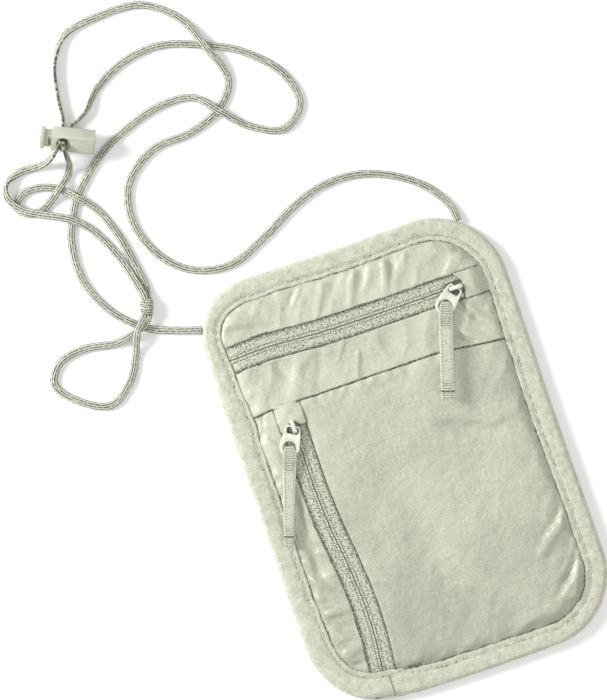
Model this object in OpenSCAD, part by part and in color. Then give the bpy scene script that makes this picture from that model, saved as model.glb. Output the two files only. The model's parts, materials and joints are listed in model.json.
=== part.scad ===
// Neck pouch wallet: a flat, zipped fabric pouch on a flat braided neck cord with a cord lock.
// It lies on its back. The origin is the middle of the pouch's underside, with the top
// edge toward +Y, the front panels facing +Z, and z = 0 as the surface that it rests on.

/* [Pouch outline] */
// Width over the edge binding
pouch_w = 130; // [110:1:156]
// Height over the edge binding
pouch_h = 185; // [160:1:222]
// Corner radius at the top left
corner_tl = 25; // [18:1:32]
// Corner radius at the top right
corner_tr = 32; // [18:1:38]
// Corner radius at the bottom right
corner_br = 31; // [18:1:38]
// Corner radius at the bottom left
corner_bl = 33; // [18:1:40]

/* [Layers] */
// Thickness of the folded binding tape
binding_t = 0.7; // [0.5:0.05:1]
// Width of the binding on each face of the pouch
binding_w = 9.3; // [7:0.1:9.6]
// Thickness of the padded back panel
back_t = 0.8; // [0.5:0.05:1.5]
// Thickness of the divider between the two pockets
divider_t = 0.3; // [0.2:0.05:0.5]
// Thickness of the front fabric
fabric_t = 0.3; // [0.2:0.05:0.5]
// Rise of the front panels above the sewn edge
pocket_depth = 2.4; // [2.3:0.1:4]
// Width of the slope from the binding up to the flat of the front
slope_w = 5.1; // [3:0.1:6]
// Slit between two panels that a seam joins
seam_gap = 0.2; // [0.1:0.05:0.4]

/* [Front layout] */
// Distance of the top zip's closed slider below the top edge
top_zip_drop = 32; // [30:0.5:40]
// Distance of the top zip's closed slider from the right edge
top_zip_inset = 22.7; // [22:0.1:30]
// Distance of the yoke seam below the top edge
yoke_drop = 55.4; // [50:0.2:70]
// Distance of the side zip's closed slider from the left edge
side_zip_inset = 25.6; // [25:0.2:34]
// Distance of the side zip's closed slider below the yoke seam
side_zip_drop = 9; // [8.6:0.1:16]

/* [Zips] */
// Thickness of the zip tape
tape_t = 0.5; // [0.3:0.05:0.7]
// Half of the zip tape that shows between the panels
tape_show = 5.3; // [5:0.1:7]
// Tape that runs under the panel beside it
tape_tuck = 1.2; // [0.8:0.1:3]
// Gap between the two tapes of a zip
tape_gap = 0.9; // [0.8:0.05:1.2]
// Height of the nylon coil under the tape
coil_t = 1.25; // [0.9:0.05:1.3]
// Spacing of the coil's teeth
coil_pitch = 2; // [1.6:0.1:3]
// Length of a slider
slider_l = 9.8; // [9:0.1:11]
// Width of a slider at its nose
slider_w = 7.6; // [7:0.1:8.6]
// Thickness of a slider's plates
plate_t = 0.65; // [0.5:0.05:0.9]
// Running clearance of a slider on its chain
slider_gap = 0.15; // [0.1:0.05:0.2]
// Width of the slider's bail
bail_w = 1.2; // [1:0.1:1.4]

/* [Pulls] */
// Distance from the bail to the middle of a tab's ring
tab_reach = 8.5; // [8:0.1:11]
// Thickness of a tab
tab_t = 0.9; // [0.7:0.05:1]
// Radius of a tab's ring hole
ring_r = 3.1; // [3:0.1:3.6]
// Width of the ring's rim
rim_w = 1.15; // [0.9:0.05:1.3]
// Width of the pull webbing
webbing_w = 5.8; // [5:0.1:7]
// Thickness of the pull webbing
webbing_t = 0.45; // [0.3:0.05:0.5]
// Length of the top zip's webbing pull
top_pull_l = 39; // [25:1:48]
// Clearance of the top zip's webbing pull over the other zip's slider
pull_over_clear = 0.5; // [0.3:0.1:1.5]
// Length of the side zip's webbing pull
side_pull_l = 41; // [25:1:48]

/* [Cord and lock] */
// Width of the flat cord
cord_w = 3; // [2.4:0.1:3.2]
// Thickness of the flat cord
cord_t = 1.3; // [1:0.05:1.35]
// Side of the lock barrel's square section
barrel_side = 8; // [7.6:0.1:9]
// Length of the lock barrel
barrel_l = 17.5; // [16:0.5:22]
// Wall of the lock barrel
barrel_wall = 0.9; // [0.7:0.05:1.1]
// Diameter of the lock's cord hole
lock_hole_d = 5.8; // [5.6:0.1:6]
// Side of the plunger's square stem
stem_side = 5.6; // [5.2:0.1:5.8]
// Side of the plunger's square head
head_side = 7.5; // [7:0.1:8]
// How far the plunger can be pressed in
plunger_travel = 3; // [2:0.5:3]

/* [Hidden] */
$fn = 48;

// Heights of the layers, from the underside up
back_z = binding_t;
divider_z = back_z + back_t;
tape_z = divider_z + divider_t;
flange_z = tape_z + tape_t;
stack_top = flange_z + fabric_t;
binding_h = stack_top + binding_t;
front_z = stack_top + pocket_depth;
bight_w = 1;
layer_inset = 1.2;
slope_inset = binding_w + 1.1;
flat_inset = slope_inset + slope_w;
big = 400;

// Places of the zips and of the yoke seam
right_edge = pouch_w / 2;
top_edge = pouch_h / 2;
yoke_y = top_edge - yoke_drop;
top_zip_at = [right_edge - top_zip_inset, top_edge - top_zip_drop];
top_zip_turn = 179;
side_zip_at = [side_zip_inset - right_edge, yoke_y - side_zip_drop];
side_zip_turn = -88.7;

// Zip chain and slider, in heights above the resting surface
tape_top = front_z - fabric_t;
tape_bottom = tape_top - tape_t;
coil_drop = 0.05;
coil_z = tape_bottom - coil_drop - coil_t;
upper_plate_z = tape_top + slider_gap;
lower_plate_z = coil_z - slider_gap - plate_t;
slider_top = upper_plate_z + plate_t;
slider_nose = 5.2;
slider_tail = slider_l - slider_nose;
flange_w = 0.6;
flange_in = 0.5;
flange_start = 2.2;
flange_short = 3.2;
nose_r = 1.6;
tail_r = 1;
web_w = 0.6;
web_l = 2.5;
web_back = 0.8;
coil_start = web_back + web_l + 0.3 - slider_nose;
coil_root = 0.6;
coil_tip = -0.45;
coil_spine = 1.9;
tooth_gap = 0.15;
end_clear = 0.3;
tape_past_yoke = 3;
// How far the sloping top zip has fallen where it ends
top_zip_fall = 2;

// How far a rounded corner cuts in from the straight edge, at a place past the arc's start
function corner_dip(radius, inset, past) = let (q = radius - inset)
    past <= 0 ? 0 : q - sqrt(max(0, q * q - past * past));
top_dip = corner_dip(corner_tl, flat_inset, corner_tl + top_zip_fall + slider_w / 2 - top_zip_drop);
side_dip = corner_dip(corner_bl, flat_inset, corner_bl + slider_w / 2 - side_zip_inset);
top_travel = right_edge + top_zip_at[0] - flat_inset - slider_tail - end_clear - top_dip;
side_travel = side_zip_at[1] + top_edge - flat_inset - slider_tail - end_clear - side_dip;
top_coil_l = top_travel + slider_tail - coil_start;
side_coil_l = side_travel + slider_tail - coil_start;

// Bail, tab and webbing
bail_in = 2;
bail_leg = 0.9;
bar_r = 0.5;
bar_clear = 0.25;
bar_z = slider_top + bar_clear + bar_r;
bail_room = bar_r + 0.3;
bail_bar = 0.7;
bail_chamfer = 0.7;
bail_fillet = 0.3;
eye_half = 2.5;
eye_l = 3.3;
eye_wall = 0.8;
tab_half = eye_half + eye_wall;
tab_root = 0.5;
top_tab_turn = 221;
side_tab_turn = 240.6;
top_webbing_turn = 254;
side_webbing_turn = 252;
loop_clear = 0.08;
loop_out = tab_t / 2 + loop_clear + webbing_t;
bight_half = 2.1;
bight_x = 1.2;
full_width_x = 3.6;
fold_foot = 4;
fold_head = 1.2;
fold_foot_in = 3.3;
fold_head_in = 0.8;
// Heights above the ring's middle at which the two pulls' free ends lie
rise_l = 9;
top_pull_rise = bail_room + bail_bar + pull_over_clear;
side_pull_rise = -loop_out;

// Garage flaps over the slider noses
flap_t = 0.35;
flap_lift = 0.25;
flap_edge = 3.4;
flap_half = 5.8;
flap_z = slider_top + flap_lift;
flap_end_clear = 0.3;
flap_seat_lift = 0.4;
flap_fall = 2.5;
flap_seam_clear = 0.05;
notch_half = 4.3;
notch_overlap = 0.1;

// Thread line on the binding
stitch_back = 2.3;
thread_w = 0.3;
thread_h = 0.12;

// Cord lock, built about its cord hole with the plunger's head toward local -X
lock_at = [-90, 170.3, 5.2];
lock_turn = [34, 0, -24.7];
hole_setback = 5;
barrel_r = 1.2;
stem_r = 0.5;
stem_clear = 0.3;
head_t = 1.8;
slot_w = 3.8;
slot_back = 6.3;
slot_front = 1.7;
stem_end = 4.2;
spring_r = 2;
spring_wire = 0.25;
spring_turns = 5;
spring_seat = 0.3;
head_gap = plunger_travel;

// Cord routes: x, y, height of the middle, and roll of the flat section (90 stands on edge)
cord_low = 0.7;
cord_over = 2.4;
cord_edge = 1.55;
left_route = [
    [-62, 78, 1.6, 0], [-83.5, 86.2, cord_low, 0], [-95.5, 98, cord_low, 0],
    [-102, 114, cord_low, 0], [-101, 130, cord_low, 0], [-93, 146.2, cord_low, 0],
    [-79.5, 158.6, cord_low, 0], [-63, 167, cord_low, 0], [-46, 171, cord_low, 0],
    [-34, 169.3, cord_low, 0], [-26.6, 161.3, cord_over, 0], [-16.5, 151, cord_low, 0],
    [-3, 145.2, cord_low, 0], [6.4, 153, cord_low, 0], [4, 166.5, cord_low, 0],
    [-9, 180.8, cord_low, 0], [-23, 188.4, cord_low, 0], [-41, 194.4, cord_low, 0],
    [-57, 192.8, cord_low, 0], [-70.5, 186, 0.9, 30], [-78.5, 178, 1.5, 80],
    [-85.6, 174.9, cord_edge, 90], [-88.7, 173.2, 1.6, 90], [-89.4, 171.6, 3.1, 90],
    [-90.7, 168.8, 7.5, 90], [-91.2, 167.6, 9.1, 90], [-91.3, 165.4, 9, 80],
    [-91.3, 162.6, 6.4, 60], [-91.7, 159.2, 2.8, 40], [-93.6, 156, 0.9, 10],
    [-98.8, 151.8, cord_over, 0], [-110, 145.6, cord_low, 0], [-115.4, 147, cord_low, 0],
    [-118, 151, cord_low, 0], [-113, 155, cord_low, 0], [-99.3, 152.2, cord_low, 0],
    [-93, 146.2, cord_over, 0], [-87, 139, cord_low, 0], [-82, 126, cord_low, 0],
    [-79.2, 111, cord_low, 0], [-78.2, 103.5, cord_low, 0], [-78.9, 98, 1.3, 0]
];
right_route = [
    [52.3, 86, 1.6, 0], [51.2, 93, 0.9, 0], [44, 104, cord_low, 0], [33, 112.3, cord_low, 0],
    [19, 117.7, cord_low, 0], [4, 118, cord_low, 0], [-24.5, 106.2, cord_low, 0],
    [-42, 99.5, cord_low, 0], [-58, 102.7, cord_low, 0], [-69, 113, cord_low, 0],
    [-74.6, 129, cord_low, 0], [-71, 144.5, cord_low, 0], [-57, 154.7, cord_low, 0],
    [-40, 156.3, cord_low, 0], [-26.6, 161.3, cord_low, 0], [-18.4, 171.5, cord_low, 0],
    [-23, 188.4, cord_over, 0], [-29, 202, cord_low, 0], [-42, 212.5, cord_low, 0],
    [-60, 214, cord_low, 0], [-76.5, 211, 0.9, 30], [-83.6, 201.5, 1.5, 80],
    [-88, 178.2, cord_edge, 90], [-90, 173.8, 1.6, 90], [-90.7, 172.2, 3.1, 90],
    [-92, 169.5, 7.5, 90], [-92.6, 168.2, 9, 90], [-94.4, 166.7, 9.2, 80],
    [-97, 165, 6.8, 50], [-102.5, 163.6, 1.6, 10], [-112, 163.6, 0.8, 0],
    [-118.6, 161, 1.7, 60], [-120.3, 155.8, cord_over, 20], [-116.8, 149.2, cord_over, 0],
    [-97.6, 138, cord_over, 0], [-90.5, 130, 0.8, 0], [-82.4, 110, 1.1, 0],
    [-80.9, 103.5, cord_over, 0], [-80, 97.5, 3.4, 0]
];
loop_route = [
    [-82, 91.4, 2.4, 0], [-87.3, 85.9, 3.9, 0], [-91, 77.5, 0.9, 0], [-96.6, 67.8, cord_low, 0],
    [-107.4, 60.8, cord_low, 0], [-120, 67, cord_low, 0], [-126.8, 76.4, cord_low, 0],
    [-121.5, 84.2, cord_low, 0], [-110, 86.3, cord_low, 0], [-97, 84.2, 0.8, 0],
    [-83.6, 87.4, cord_over, 0], [-80.9, 90.6, cord_over, 0]
];
knot_ends = [[-79.6, 97, 2.5], [-81.2, 91.2, 2.5]];
knot_r = 2.5;

// A rounded rectangle with its own radius at each corner, moved in by inset
module outline(inset) {
    radii = [corner_tr, corner_tl, corner_bl, corner_br];
    x = right_edge - inset;
    y = top_edge - inset;
    signs = [[1, 1], [-1, 1], [-1, -1], [1, -1]];
    difference() {
        square([2 * x, 2 * y], center = true);
        for (i = [0:3]) {
            r = radii[i] - inset;
            translate([signs[i][0] * (x - r), signs[i][1] * (y - r)])
                difference() {
                    corner_square(signs[i], r);
                    circle(r);
                }
        }
    }
}

// The corner square of side r that faces the quadrant given by sign
module corner_square(sign, r) {
    translate([min(0, sign[0] * (r + 1)), min(0, sign[1] * (r + 1))]) square(r + 1);
}

// A flat layer of the pouch
module layer(z, t, inset) {
    translate([0, 0, z]) linear_extrude(t) outline(inset);
}

// The front's outer form, moved down by depth: a sewn flange and a raised, sloping middle
module dome(depth) {
    translate([0, 0, -depth]) {
        layer(flange_z, fabric_t, layer_inset);
        hull() {
            layer(flange_z, fabric_t, slope_inset);
            layer(front_z - fabric_t, fabric_t, flat_inset);
        }
    }
}

// A sheet of thickness t that follows the front, depth below its outer face
module front_sheet(depth, t) {
    difference() {
        dome(depth);
        dome(depth + t);
    }
}

module top_zip_frame() {
    translate(top_zip_at) rotate(top_zip_turn) children();
}

module side_zip_frame() {
    translate(side_zip_at) rotate(side_zip_turn) children();
}

// Everything on one side of a line along X: from y0 outward, up with side 1 and down with side -1
module half_plane(y0, side) {
    translate([-big, side > 0 ? y0 : y0 - big]) square([2 * big, big]);
}

// A front panel: the fabric sheet cut to the plan given as children
module front_panel() {
    intersection() {
        front_sheet(0, fabric_t);
        linear_extrude(front_z + 1) children();
    }
}

// One tape of a zip, under the fabric. side picks the local +Y or -Y half
module zip_tape(side, start) {
    y0 = side > 0 ? tape_gap / 2 : -tape_show - tape_tuck;
    translate([start, y0]) square([big, tape_show + tape_tuck - tape_gap / 2]);
}

// One row of coil teeth, with its teeth past the middle line into the other row's gaps
module coil_row(side, length) {
    count = floor(length / coil_pitch);
    tooth = coil_pitch / 2 - tooth_gap;
    shift = side > 0 ? 0 : coil_pitch / 2;
    end = count * coil_pitch + shift;
    teeth = [for (i = [0:count - 1]) let (x = shift + i * coil_pitch) each [
        [x, coil_root], [x, coil_tip], [x + tooth, coil_tip], [x + tooth, coil_root]
    ]];
    spine = [[end, coil_root], [end, coil_spine], [0, coil_spine], [0, coil_root]];
    comb = [for (p = concat(teeth, spine)) [p[0], side * p[1]]];
    translate([coil_start, 0, coil_z]) linear_extrude(coil_t) polygon(comb);
}

// Plan of a slider, its nose at local -X
module slider_plan() {
    hull() for (s = [-1, 1]) {
        translate([nose_r - slider_nose, s * (slider_w / 2 - nose_r)]) circle(nose_r);
        translate([slider_tail - tail_r, s * (slider_w / 2 - tail_r - flange_in)]) circle(tail_r);
    }
}

// An upright shape with cut corners, half its width from the middle line
module arch(half, top, foot, cut) {
    polygon([
        [-half, foot], [-half, top - cut], [cut - half, top],
        [half - cut, top], [half, top - cut], [half, foot]
    ]);
}

// The arch that holds the pull tab, along the slider
module bail() {
    out = bail_in + bail_leg;
    inner_top = bar_z + bail_room;
    outer_top = inner_top + bail_bar;
    foot = upper_plate_z + plate_t / 2;
    rotate([90, 0, 0]) linear_extrude(bail_w, center = true) difference() {
        arch(out, outer_top, foot, bail_chamfer);
        arch(bail_in, inner_top, foot - 1, bail_fillet);
    }
}

module slider() {
    color("gainsboro") {
        for (z = [lower_plate_z, upper_plate_z])
            translate([0, 0, z]) linear_extrude(plate_t) slider_plan();
        // Side flanges that hold the coils together
        flange_top = tape_bottom - slider_gap;
        rail_z = lower_plate_z + plate_t / 2;
        rail_y = slider_w / 2 - flange_in - flange_w;
        for (y = [rail_y, -rail_y - flange_w])
            translate([flange_start - slider_nose, y, rail_z])
                cube([slider_l - flange_short, flange_w, flange_top - rail_z]);
        // The web at the nose that joins the plates between the two tapes
        translate([web_back - slider_nose, -web_w / 2, rail_z])
            cube([web_l, web_w, upper_plate_z + plate_t / 2 - rail_z]);
        difference() {
            bail();
            translate([-big / 2, -big / 2, -big + upper_plate_z + plate_t / 2]) cube(big);
        }
    }
}

// A pull tab: crossbar under the bail, eye, and ring at tab_reach; its axis is local Y
module pull_tab() {
    color("ivory") {
        translate([0, 0, -tab_t / 2]) linear_extrude(tab_t) difference() {
            hull() {
                translate([0, -tab_half]) square([tab_root, 2 * tab_half]);
                translate([tab_reach, 0]) circle(ring_r + rim_w);
            }
            translate([-1, -eye_half]) square([eye_l + 1, 2 * eye_half]);
            translate([tab_reach, 0]) circle(ring_r);
        }
        rotate([90, 0, 0]) cylinder(r = bar_r, h = 2 * tab_half, center = true);
    }
}

// A webbing pull folded round the ring's rim, with the ring's centre at the origin. Its free
// end lies with its underside at the height rise
module pull_webbing(length, rise) {
    out = loop_out;
    inner = out - webbing_t;
    rim_out = ring_r + rim_w;
    lap = inner - webbing_t;
    strap_t = out - lap - loop_clear;
    rise_end = rim_out + fold_foot + rise_l;
    color("lightgray") intersection() {
        rotate([90, 0, 0]) linear_extrude(webbing_w, center = true) difference() {
            polygon([
                [bight_x, -out], [rim_out + fold_foot, -out], [rise_end, rise], [length, rise],
                [length, rise + strap_t], [rise_end, rise + strap_t],
                [rim_out + fold_foot, strap_t - out], [rim_out + fold_head, out], [bight_x, out]
            ]);
            polygon([
                [bight_x + webbing_t, -inner], [rim_out + fold_foot_in, -inner],
                [rim_out + fold_head_in, inner], [bight_x + webbing_t, inner]
            ]);
        }
        translate([0, 0, -big / 2]) linear_extrude(big)
            polygon([
                [bight_x, -bight_half], [full_width_x, -webbing_w / 2], [length, -webbing_w / 2],
                [length, webbing_w / 2], [full_width_x, webbing_w / 2], [bight_x, bight_half]
            ]);
    }
}

// A flap over a slider's nose. It lies flat from flap_edge to lift_x, then falls to seat_x
module garage(lift_x, seat_x, seat_z) {
    rotate([90, 0, 0]) linear_extrude(2 * flap_half, center = true)
        polygon([
            [-flap_edge, flap_z], [-flap_edge, flap_z + flap_t], [-lift_x, flap_z + flap_t],
            [-seat_x, seat_z + flap_t], [-seat_x, seat_z], [-lift_x, flap_z]
        ]);
}

// Tube through points: section is a list of [across, up], turned by roll about the path
function unit(v) = v / norm(v);
function flat_at(p) = [p[0], p[1], p[2]];
function path_dir(pts, i) =
    unit(flat_at(pts[min(i + 1, len(pts) - 1)]) - flat_at(pts[max(i - 1, 0)]));
function ring_at(p, dir, section, roll) =
    let (across = unit(cross(dir, [0, 0, 1])), up = cross(across, dir))
    [for (s = section)
        let (a = s[0] * cos(roll) - s[1] * sin(roll), b = s[0] * sin(roll) + s[1] * cos(roll))
        flat_at(p) + a * across + b * up];

module sweep(pts, section) {
    n = len(section);
    rings = [for (i = [0:len(pts) - 1])
        each ring_at(pts[i], path_dir(pts, i), section, len(pts[i]) > 3 ? pts[i][3] : 0)];
    sides = [for (i = [0:len(pts) - 2], j = [0:n - 1]) each [
        [i * n + j, i * n + (j + 1) % n, (i + 1) * n + (j + 1) % n],
        [i * n + j, (i + 1) * n + (j + 1) % n, (i + 1) * n + j]
    ]];
    last = (len(pts) - 1) * n;
    caps = [[for (j = [0:n - 1]) n - 1 - j], [for (j = [0:n - 1]) last + j]];
    polyhedron(points = rings, faces = concat(sides, caps), convexity = 10);
}

// Section of the flat cord: eight sides, rounded at its edges
unit_section = [
    [1, 0.45], [0.62, 1], [-0.62, 1], [-1, 0.45],
    [-1, -0.45], [-0.62, -1], [0.62, -1], [1, -0.45]
];
cord_section = [for (q = unit_section) [q[0] * cord_w / 2, q[1] * cord_t / 2]];

module cord(route) {
    color("beige") sweep(route, cord_section);
}

// Square prism with rounded edges along local X, from x0 to x1
module rounded_bar(x0, x1, side, r) {
    translate([x0, 0, 0]) rotate([90, 0, 90]) linear_extrude(x1 - x0) {
        square([side, side - 2 * r], center = true);
        square([side - 2 * r, side], center = true);
        for (a = [-1, 1], b = [-1, 1])
            translate([a * (side / 2 - r), b * (side / 2 - r)]) circle(r);
    }
}

module lock_frame() {
    translate(lock_at) rotate(lock_turn) children();
}

module back_panel() {
    color("lightgray") layer(back_z, back_t, layer_inset);
}

module inner_divider() {
    color("silver") layer(divider_z, divider_t, layer_inset);
}

module top_panel() {
    color("beige") front_panel() top_zip_frame() half_plane(-tape_show, -1);
}

module yoke_panel() {
    color("beige") front_panel() intersection() {
        top_zip_frame() half_plane(tape_show, 1);
        half_plane(yoke_y + seam_gap / 2, 1);
    }
}

module main_panel() {
    color("beige") front_panel() intersection() {
        side_zip_frame() half_plane(tape_show, 1);
        half_plane(yoke_y - seam_gap / 2, -1);
    }
}

module side_panel() {
    color("beige") front_panel() intersection() {
        side_zip_frame() half_plane(-tape_show, -1);
        half_plane(yoke_y - seam_gap / 2, -1);
    }
}

module edge_binding() {
    color("tan") difference() {
        layer(0, binding_h, 0);
        layer(-1, binding_h + 2, binding_w);
        layer(back_z, stack_top - back_z, bight_w);
    }
}

// The row of stitches that holds the binding, as one raised line
module binding_thread() {
    thread_inset = binding_w - stitch_back;
    color("white") difference() {
        layer(binding_h, thread_h, thread_inset);
        layer(binding_h - 1, 3, thread_inset + thread_w);
    }
}

module zip_tape_sheet() {
    color("silver") intersection() {
        front_sheet(fabric_t, tape_t);
        linear_extrude(front_z + 1) children();
    }
}

module top_zip_upper_tape() {
    zip_tape_sheet() top_zip_frame() zip_tape(-1, -big / 2);
}

module top_zip_lower_tape() {
    zip_tape_sheet() top_zip_frame() zip_tape(1, -big / 2);
}

module side_zip_left_tape() {
    zip_tape_sheet() side_zip_frame() zip_tape(-1, -side_zip_drop - tape_past_yoke);
}

module side_zip_right_tape() {
    zip_tape_sheet() side_zip_frame() zip_tape(1, -side_zip_drop - tape_past_yoke);
}

module top_zip_upper_coil() {
    color("white") top_zip_frame() coil_row(-1, top_coil_l);
}

module top_zip_lower_coil() {
    color("white") top_zip_frame() coil_row(1, top_coil_l);
}

module side_zip_left_coil() {
    color("white") side_zip_frame() coil_row(-1, side_coil_l);
}

module side_zip_right_coil() {
    color("white") side_zip_frame() coil_row(1, side_coil_l);
}

module top_zip_garage() {
    dip = corner_dip(corner_tr, binding_w, corner_tr + flap_half - top_zip_drop);
    seat_x = top_zip_inset - binding_w - flap_end_clear - dip;
    lift_x = top_zip_inset - flat_inset;
    color("beige") top_zip_frame() garage(lift_x, seat_x, stack_top + flap_seat_lift);
}

// The side garage's free edge has a notch, so its two ends reach past the bail
module side_zip_garage() {
    color("beige") side_zip_frame() {
        garage(side_zip_drop - flap_fall, side_zip_drop, front_z + flap_seam_clear);
        for (y = [notch_half, -flap_half])
            translate([-flap_edge - notch_overlap, y, flap_z])
                cube([flap_edge, flap_half - notch_half, flap_t]);
    }
}

module top_slider() {
    top_zip_frame() slider();
}

module side_slider() {
    side_zip_frame() slider();
}

module top_pull_tab() {
    translate([top_zip_at[0], top_zip_at[1], bar_z]) rotate(top_tab_turn) pull_tab();
}

module side_pull_tab() {
    translate([side_zip_at[0], side_zip_at[1], bar_z]) rotate(side_tab_turn) pull_tab();
}

function ring_place(at, turn) =
    [at[0] + tab_reach * cos(turn), at[1] + tab_reach * sin(turn), bar_z];

module top_pull_webbing() {
    translate(ring_place(top_zip_at, top_tab_turn)) rotate(top_webbing_turn)
        pull_webbing(top_pull_l, top_pull_rise);
}

module side_pull_webbing() {
    translate(ring_place(side_zip_at, side_tab_turn)) rotate(side_webbing_turn)
        pull_webbing(side_pull_l, side_pull_rise);
}

module lock_barrel() {
    bore = stem_side + 2 * stem_clear;
    color("ivory") lock_frame() difference() {
        rounded_bar(-hole_setback, barrel_l - hole_setback, barrel_side, barrel_r);
        translate([-hole_setback - 1, -bore / 2, -bore / 2])
            cube([barrel_l - barrel_wall + 1, bore, bore]);
        cylinder(d = lock_hole_d, h = barrel_side + 2, center = true);
    }
}

module lock_plunger() {
    head_x = -hole_setback - head_gap - head_t;
    color("ivory") lock_frame() difference() {
        union() {
            rounded_bar(head_x, head_x + head_t, head_side, barrel_r);
            rounded_bar(head_x + head_t / 2, stem_end, stem_side, stem_r);
        }
        translate([-slot_back, -slot_w / 2, -barrel_side])
            cube([slot_back + slot_front, slot_w, 2 * barrel_side]);
    }
}

module lock_spring() {
    steps = 10;
    length = barrel_l - hole_setback - barrel_wall - stem_end - 2 * spring_seat;
    helix = [for (i = [0:spring_turns * steps])
        let (a = i * 360 / steps)
        [spring_r * cos(a), spring_r * sin(a), i * length / (spring_turns * steps)]];
    wire = [for (a = [0:60:300]) [spring_wire * cos(a), spring_wire * sin(a)]];
    color("gray") lock_frame() translate([stem_end + spring_seat, 0, 0]) rotate([0, 90, 0])
        sweep(helix, wire);
}

module cord_left_strand() {
    cord(left_route);
}

module cord_right_strand() {
    cord(right_route);
}

module cord_end_loop() {
    cord(loop_route);
}

module cord_knot() {
    color("beige") hull() for (p = knot_ends) translate(p) sphere(knot_r, $fn = 24);
}

back_panel();
inner_divider();
top_panel();
yoke_panel();
main_panel();
side_panel();
edge_binding();
binding_thread();
top_zip_upper_tape();
top_zip_lower_tape();
top_zip_upper_coil();
top_zip_lower_coil();
top_zip_garage();
top_slider();
top_pull_tab();
top_pull_webbing();
side_zip_left_tape();
side_zip_right_tape();
side_zip_left_coil();
side_zip_right_coil();
side_zip_garage();
side_slider();
side_pull_tab();
side_pull_webbing();
lock_barrel();
lock_plunger();
lock_spring();
cord_left_strand();
cord_right_strand();
cord_end_loop();
cord_knot();
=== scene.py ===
"""Looks of the neck pouch wallet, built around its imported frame. Metres, +Z up, pouch on its back."""

import json
import math

import bmesh
import bpy
import numpy as np
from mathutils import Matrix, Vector, geometry


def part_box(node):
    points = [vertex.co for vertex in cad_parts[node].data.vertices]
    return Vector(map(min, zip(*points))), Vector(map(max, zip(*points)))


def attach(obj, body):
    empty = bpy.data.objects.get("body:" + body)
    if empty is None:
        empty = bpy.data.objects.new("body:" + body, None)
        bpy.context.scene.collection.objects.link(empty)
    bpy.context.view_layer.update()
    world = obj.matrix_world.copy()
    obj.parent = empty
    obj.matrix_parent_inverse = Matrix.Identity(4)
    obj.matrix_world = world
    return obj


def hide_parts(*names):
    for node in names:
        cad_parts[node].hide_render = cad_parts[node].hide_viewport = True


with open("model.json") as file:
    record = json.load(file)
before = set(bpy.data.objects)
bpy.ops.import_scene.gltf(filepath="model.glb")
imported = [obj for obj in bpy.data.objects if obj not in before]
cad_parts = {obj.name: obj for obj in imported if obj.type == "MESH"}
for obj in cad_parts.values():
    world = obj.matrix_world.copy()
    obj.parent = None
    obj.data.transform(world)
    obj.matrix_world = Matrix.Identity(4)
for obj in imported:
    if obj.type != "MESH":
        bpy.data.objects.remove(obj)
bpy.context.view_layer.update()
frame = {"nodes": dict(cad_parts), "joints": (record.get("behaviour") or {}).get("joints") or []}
MM = 0.001
rng = np.random.RandomState(7)

# ---------------------------------------------------------------- sizes, in millimetres
BOX = {name: (np.array(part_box(name)[0]) / MM, np.array(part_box(name)[1]) / MM) for name in frame["nodes"]}
HALF_W = BOX["edge_binding"][1][0]
HALF_H = BOX["edge_binding"][1][1]
BINDING_TOP = BOX["edge_binding"][1][2]
FRONT_Z = BOX["main_panel"][1][2]
TAPE_Z = BOX["top_zip_upper_tape"][1][2]
BACK_Z = BOX["back_panel"][0][2]
YOKE_Y = BOX["yoke_panel"][0][1]
CORNERS = {"tl": 25.0, "tr": 32.0, "br": 31.0, "bl": 33.0}
BINDING_W = 9.6
TAPE_SHOW = 5.3
POST_AHEAD = 3.15
UNDER = 6.5
GRID = 0.65
CEILING = 5.2
FRONT_CLOTH = 0.3
STITCH_BACK = 2.3
STITCH_PITCH = 2.1
SINK = np.array([0, 0, 0.35])
TAB_T, TAB_RIM, RING_R, RING_SHIFT, EYE_L = 0.9, 4.25, 2.75, 0.4, 3.1
JOINTS = {joint["name"]: joint for joint in frame["joints"]}


def pivot(name):
    return np.array(JOINTS[name]["pos_m"]) / MM


TOP_AT = pivot("top_tab_flip")
SIDE_AT = pivot("side_tab_flip")
TOP_RING = pivot("top_webbing_swing")
SIDE_RING = pivot("side_webbing_swing")

# Cord route: x, y, height of the middle, roll of the flat section (90 stands on edge)
LOW, OVER, EDGE = 0.7, 2.4, 1.55
LEFT_ROUTE = [
    (-62, 78, 1.6, 0), (-73, 81.5, 0.8, 0), (-83.5, 86.2, LOW, 0), (-95.5, 98, LOW, 0),
    (-102, 114, LOW, 0), (-101, 130, LOW, 0), (-97.5, 138.5, LOW, 0), (-93, 146.2, LOW, 0),
    (-79.5, 158.6, LOW, 0), (-63, 167, LOW, 0), (-46, 171, LOW, 0), (-34, 169.3, LOW, 0),
    (-26.6, 161.3, OVER, 0), (-16.5, 151, LOW, 0), (-3, 145.2, LOW, 0), (6.4, 153, LOW, 0),
    (4, 166.5, LOW, 0), (-9, 180.8, LOW, 0), (-23, 188.4, LOW, 0), (-41, 194.4, LOW, 0),
    (-57, 192.8, LOW, 0), (-70.5, 186, 0.9, 30), (-78.5, 178, 1.5, 80), (-85.6, 174.9, EDGE, 90),
    (-88.7, 173.2, 1.6, 90), (-89.4, 171.6, 3.1, 90), (-90.7, 168.8, 7.5, 90),
    (-91.2, 167.6, 9.1, 90), (-91.3, 165.4, 9, 80), (-91.3, 162.6, 6.4, 60),
    (-91.7, 159.2, 2.8, 40), (-93.6, 156, 0.9, 10), (-98.8, 151.8, OVER, 0),
    (-104.5, 147.8, 0.8, 0), (-110, 145.6, LOW, 0), (-115.4, 147, LOW, 0), (-118, 151, LOW, 0),
    (-113, 155, LOW, 0), (-106, 155, LOW, 0), (-99.3, 152.2, LOW, 0), (-93, 146.2, OVER, 0),
    (-87, 139, LOW, 0), (-82, 126, LOW, 0), (-79.2, 111, LOW, 0), (-78.2, 103.5, LOW, 0),
    (-78.9, 98, 1.3, 0)]
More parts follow.
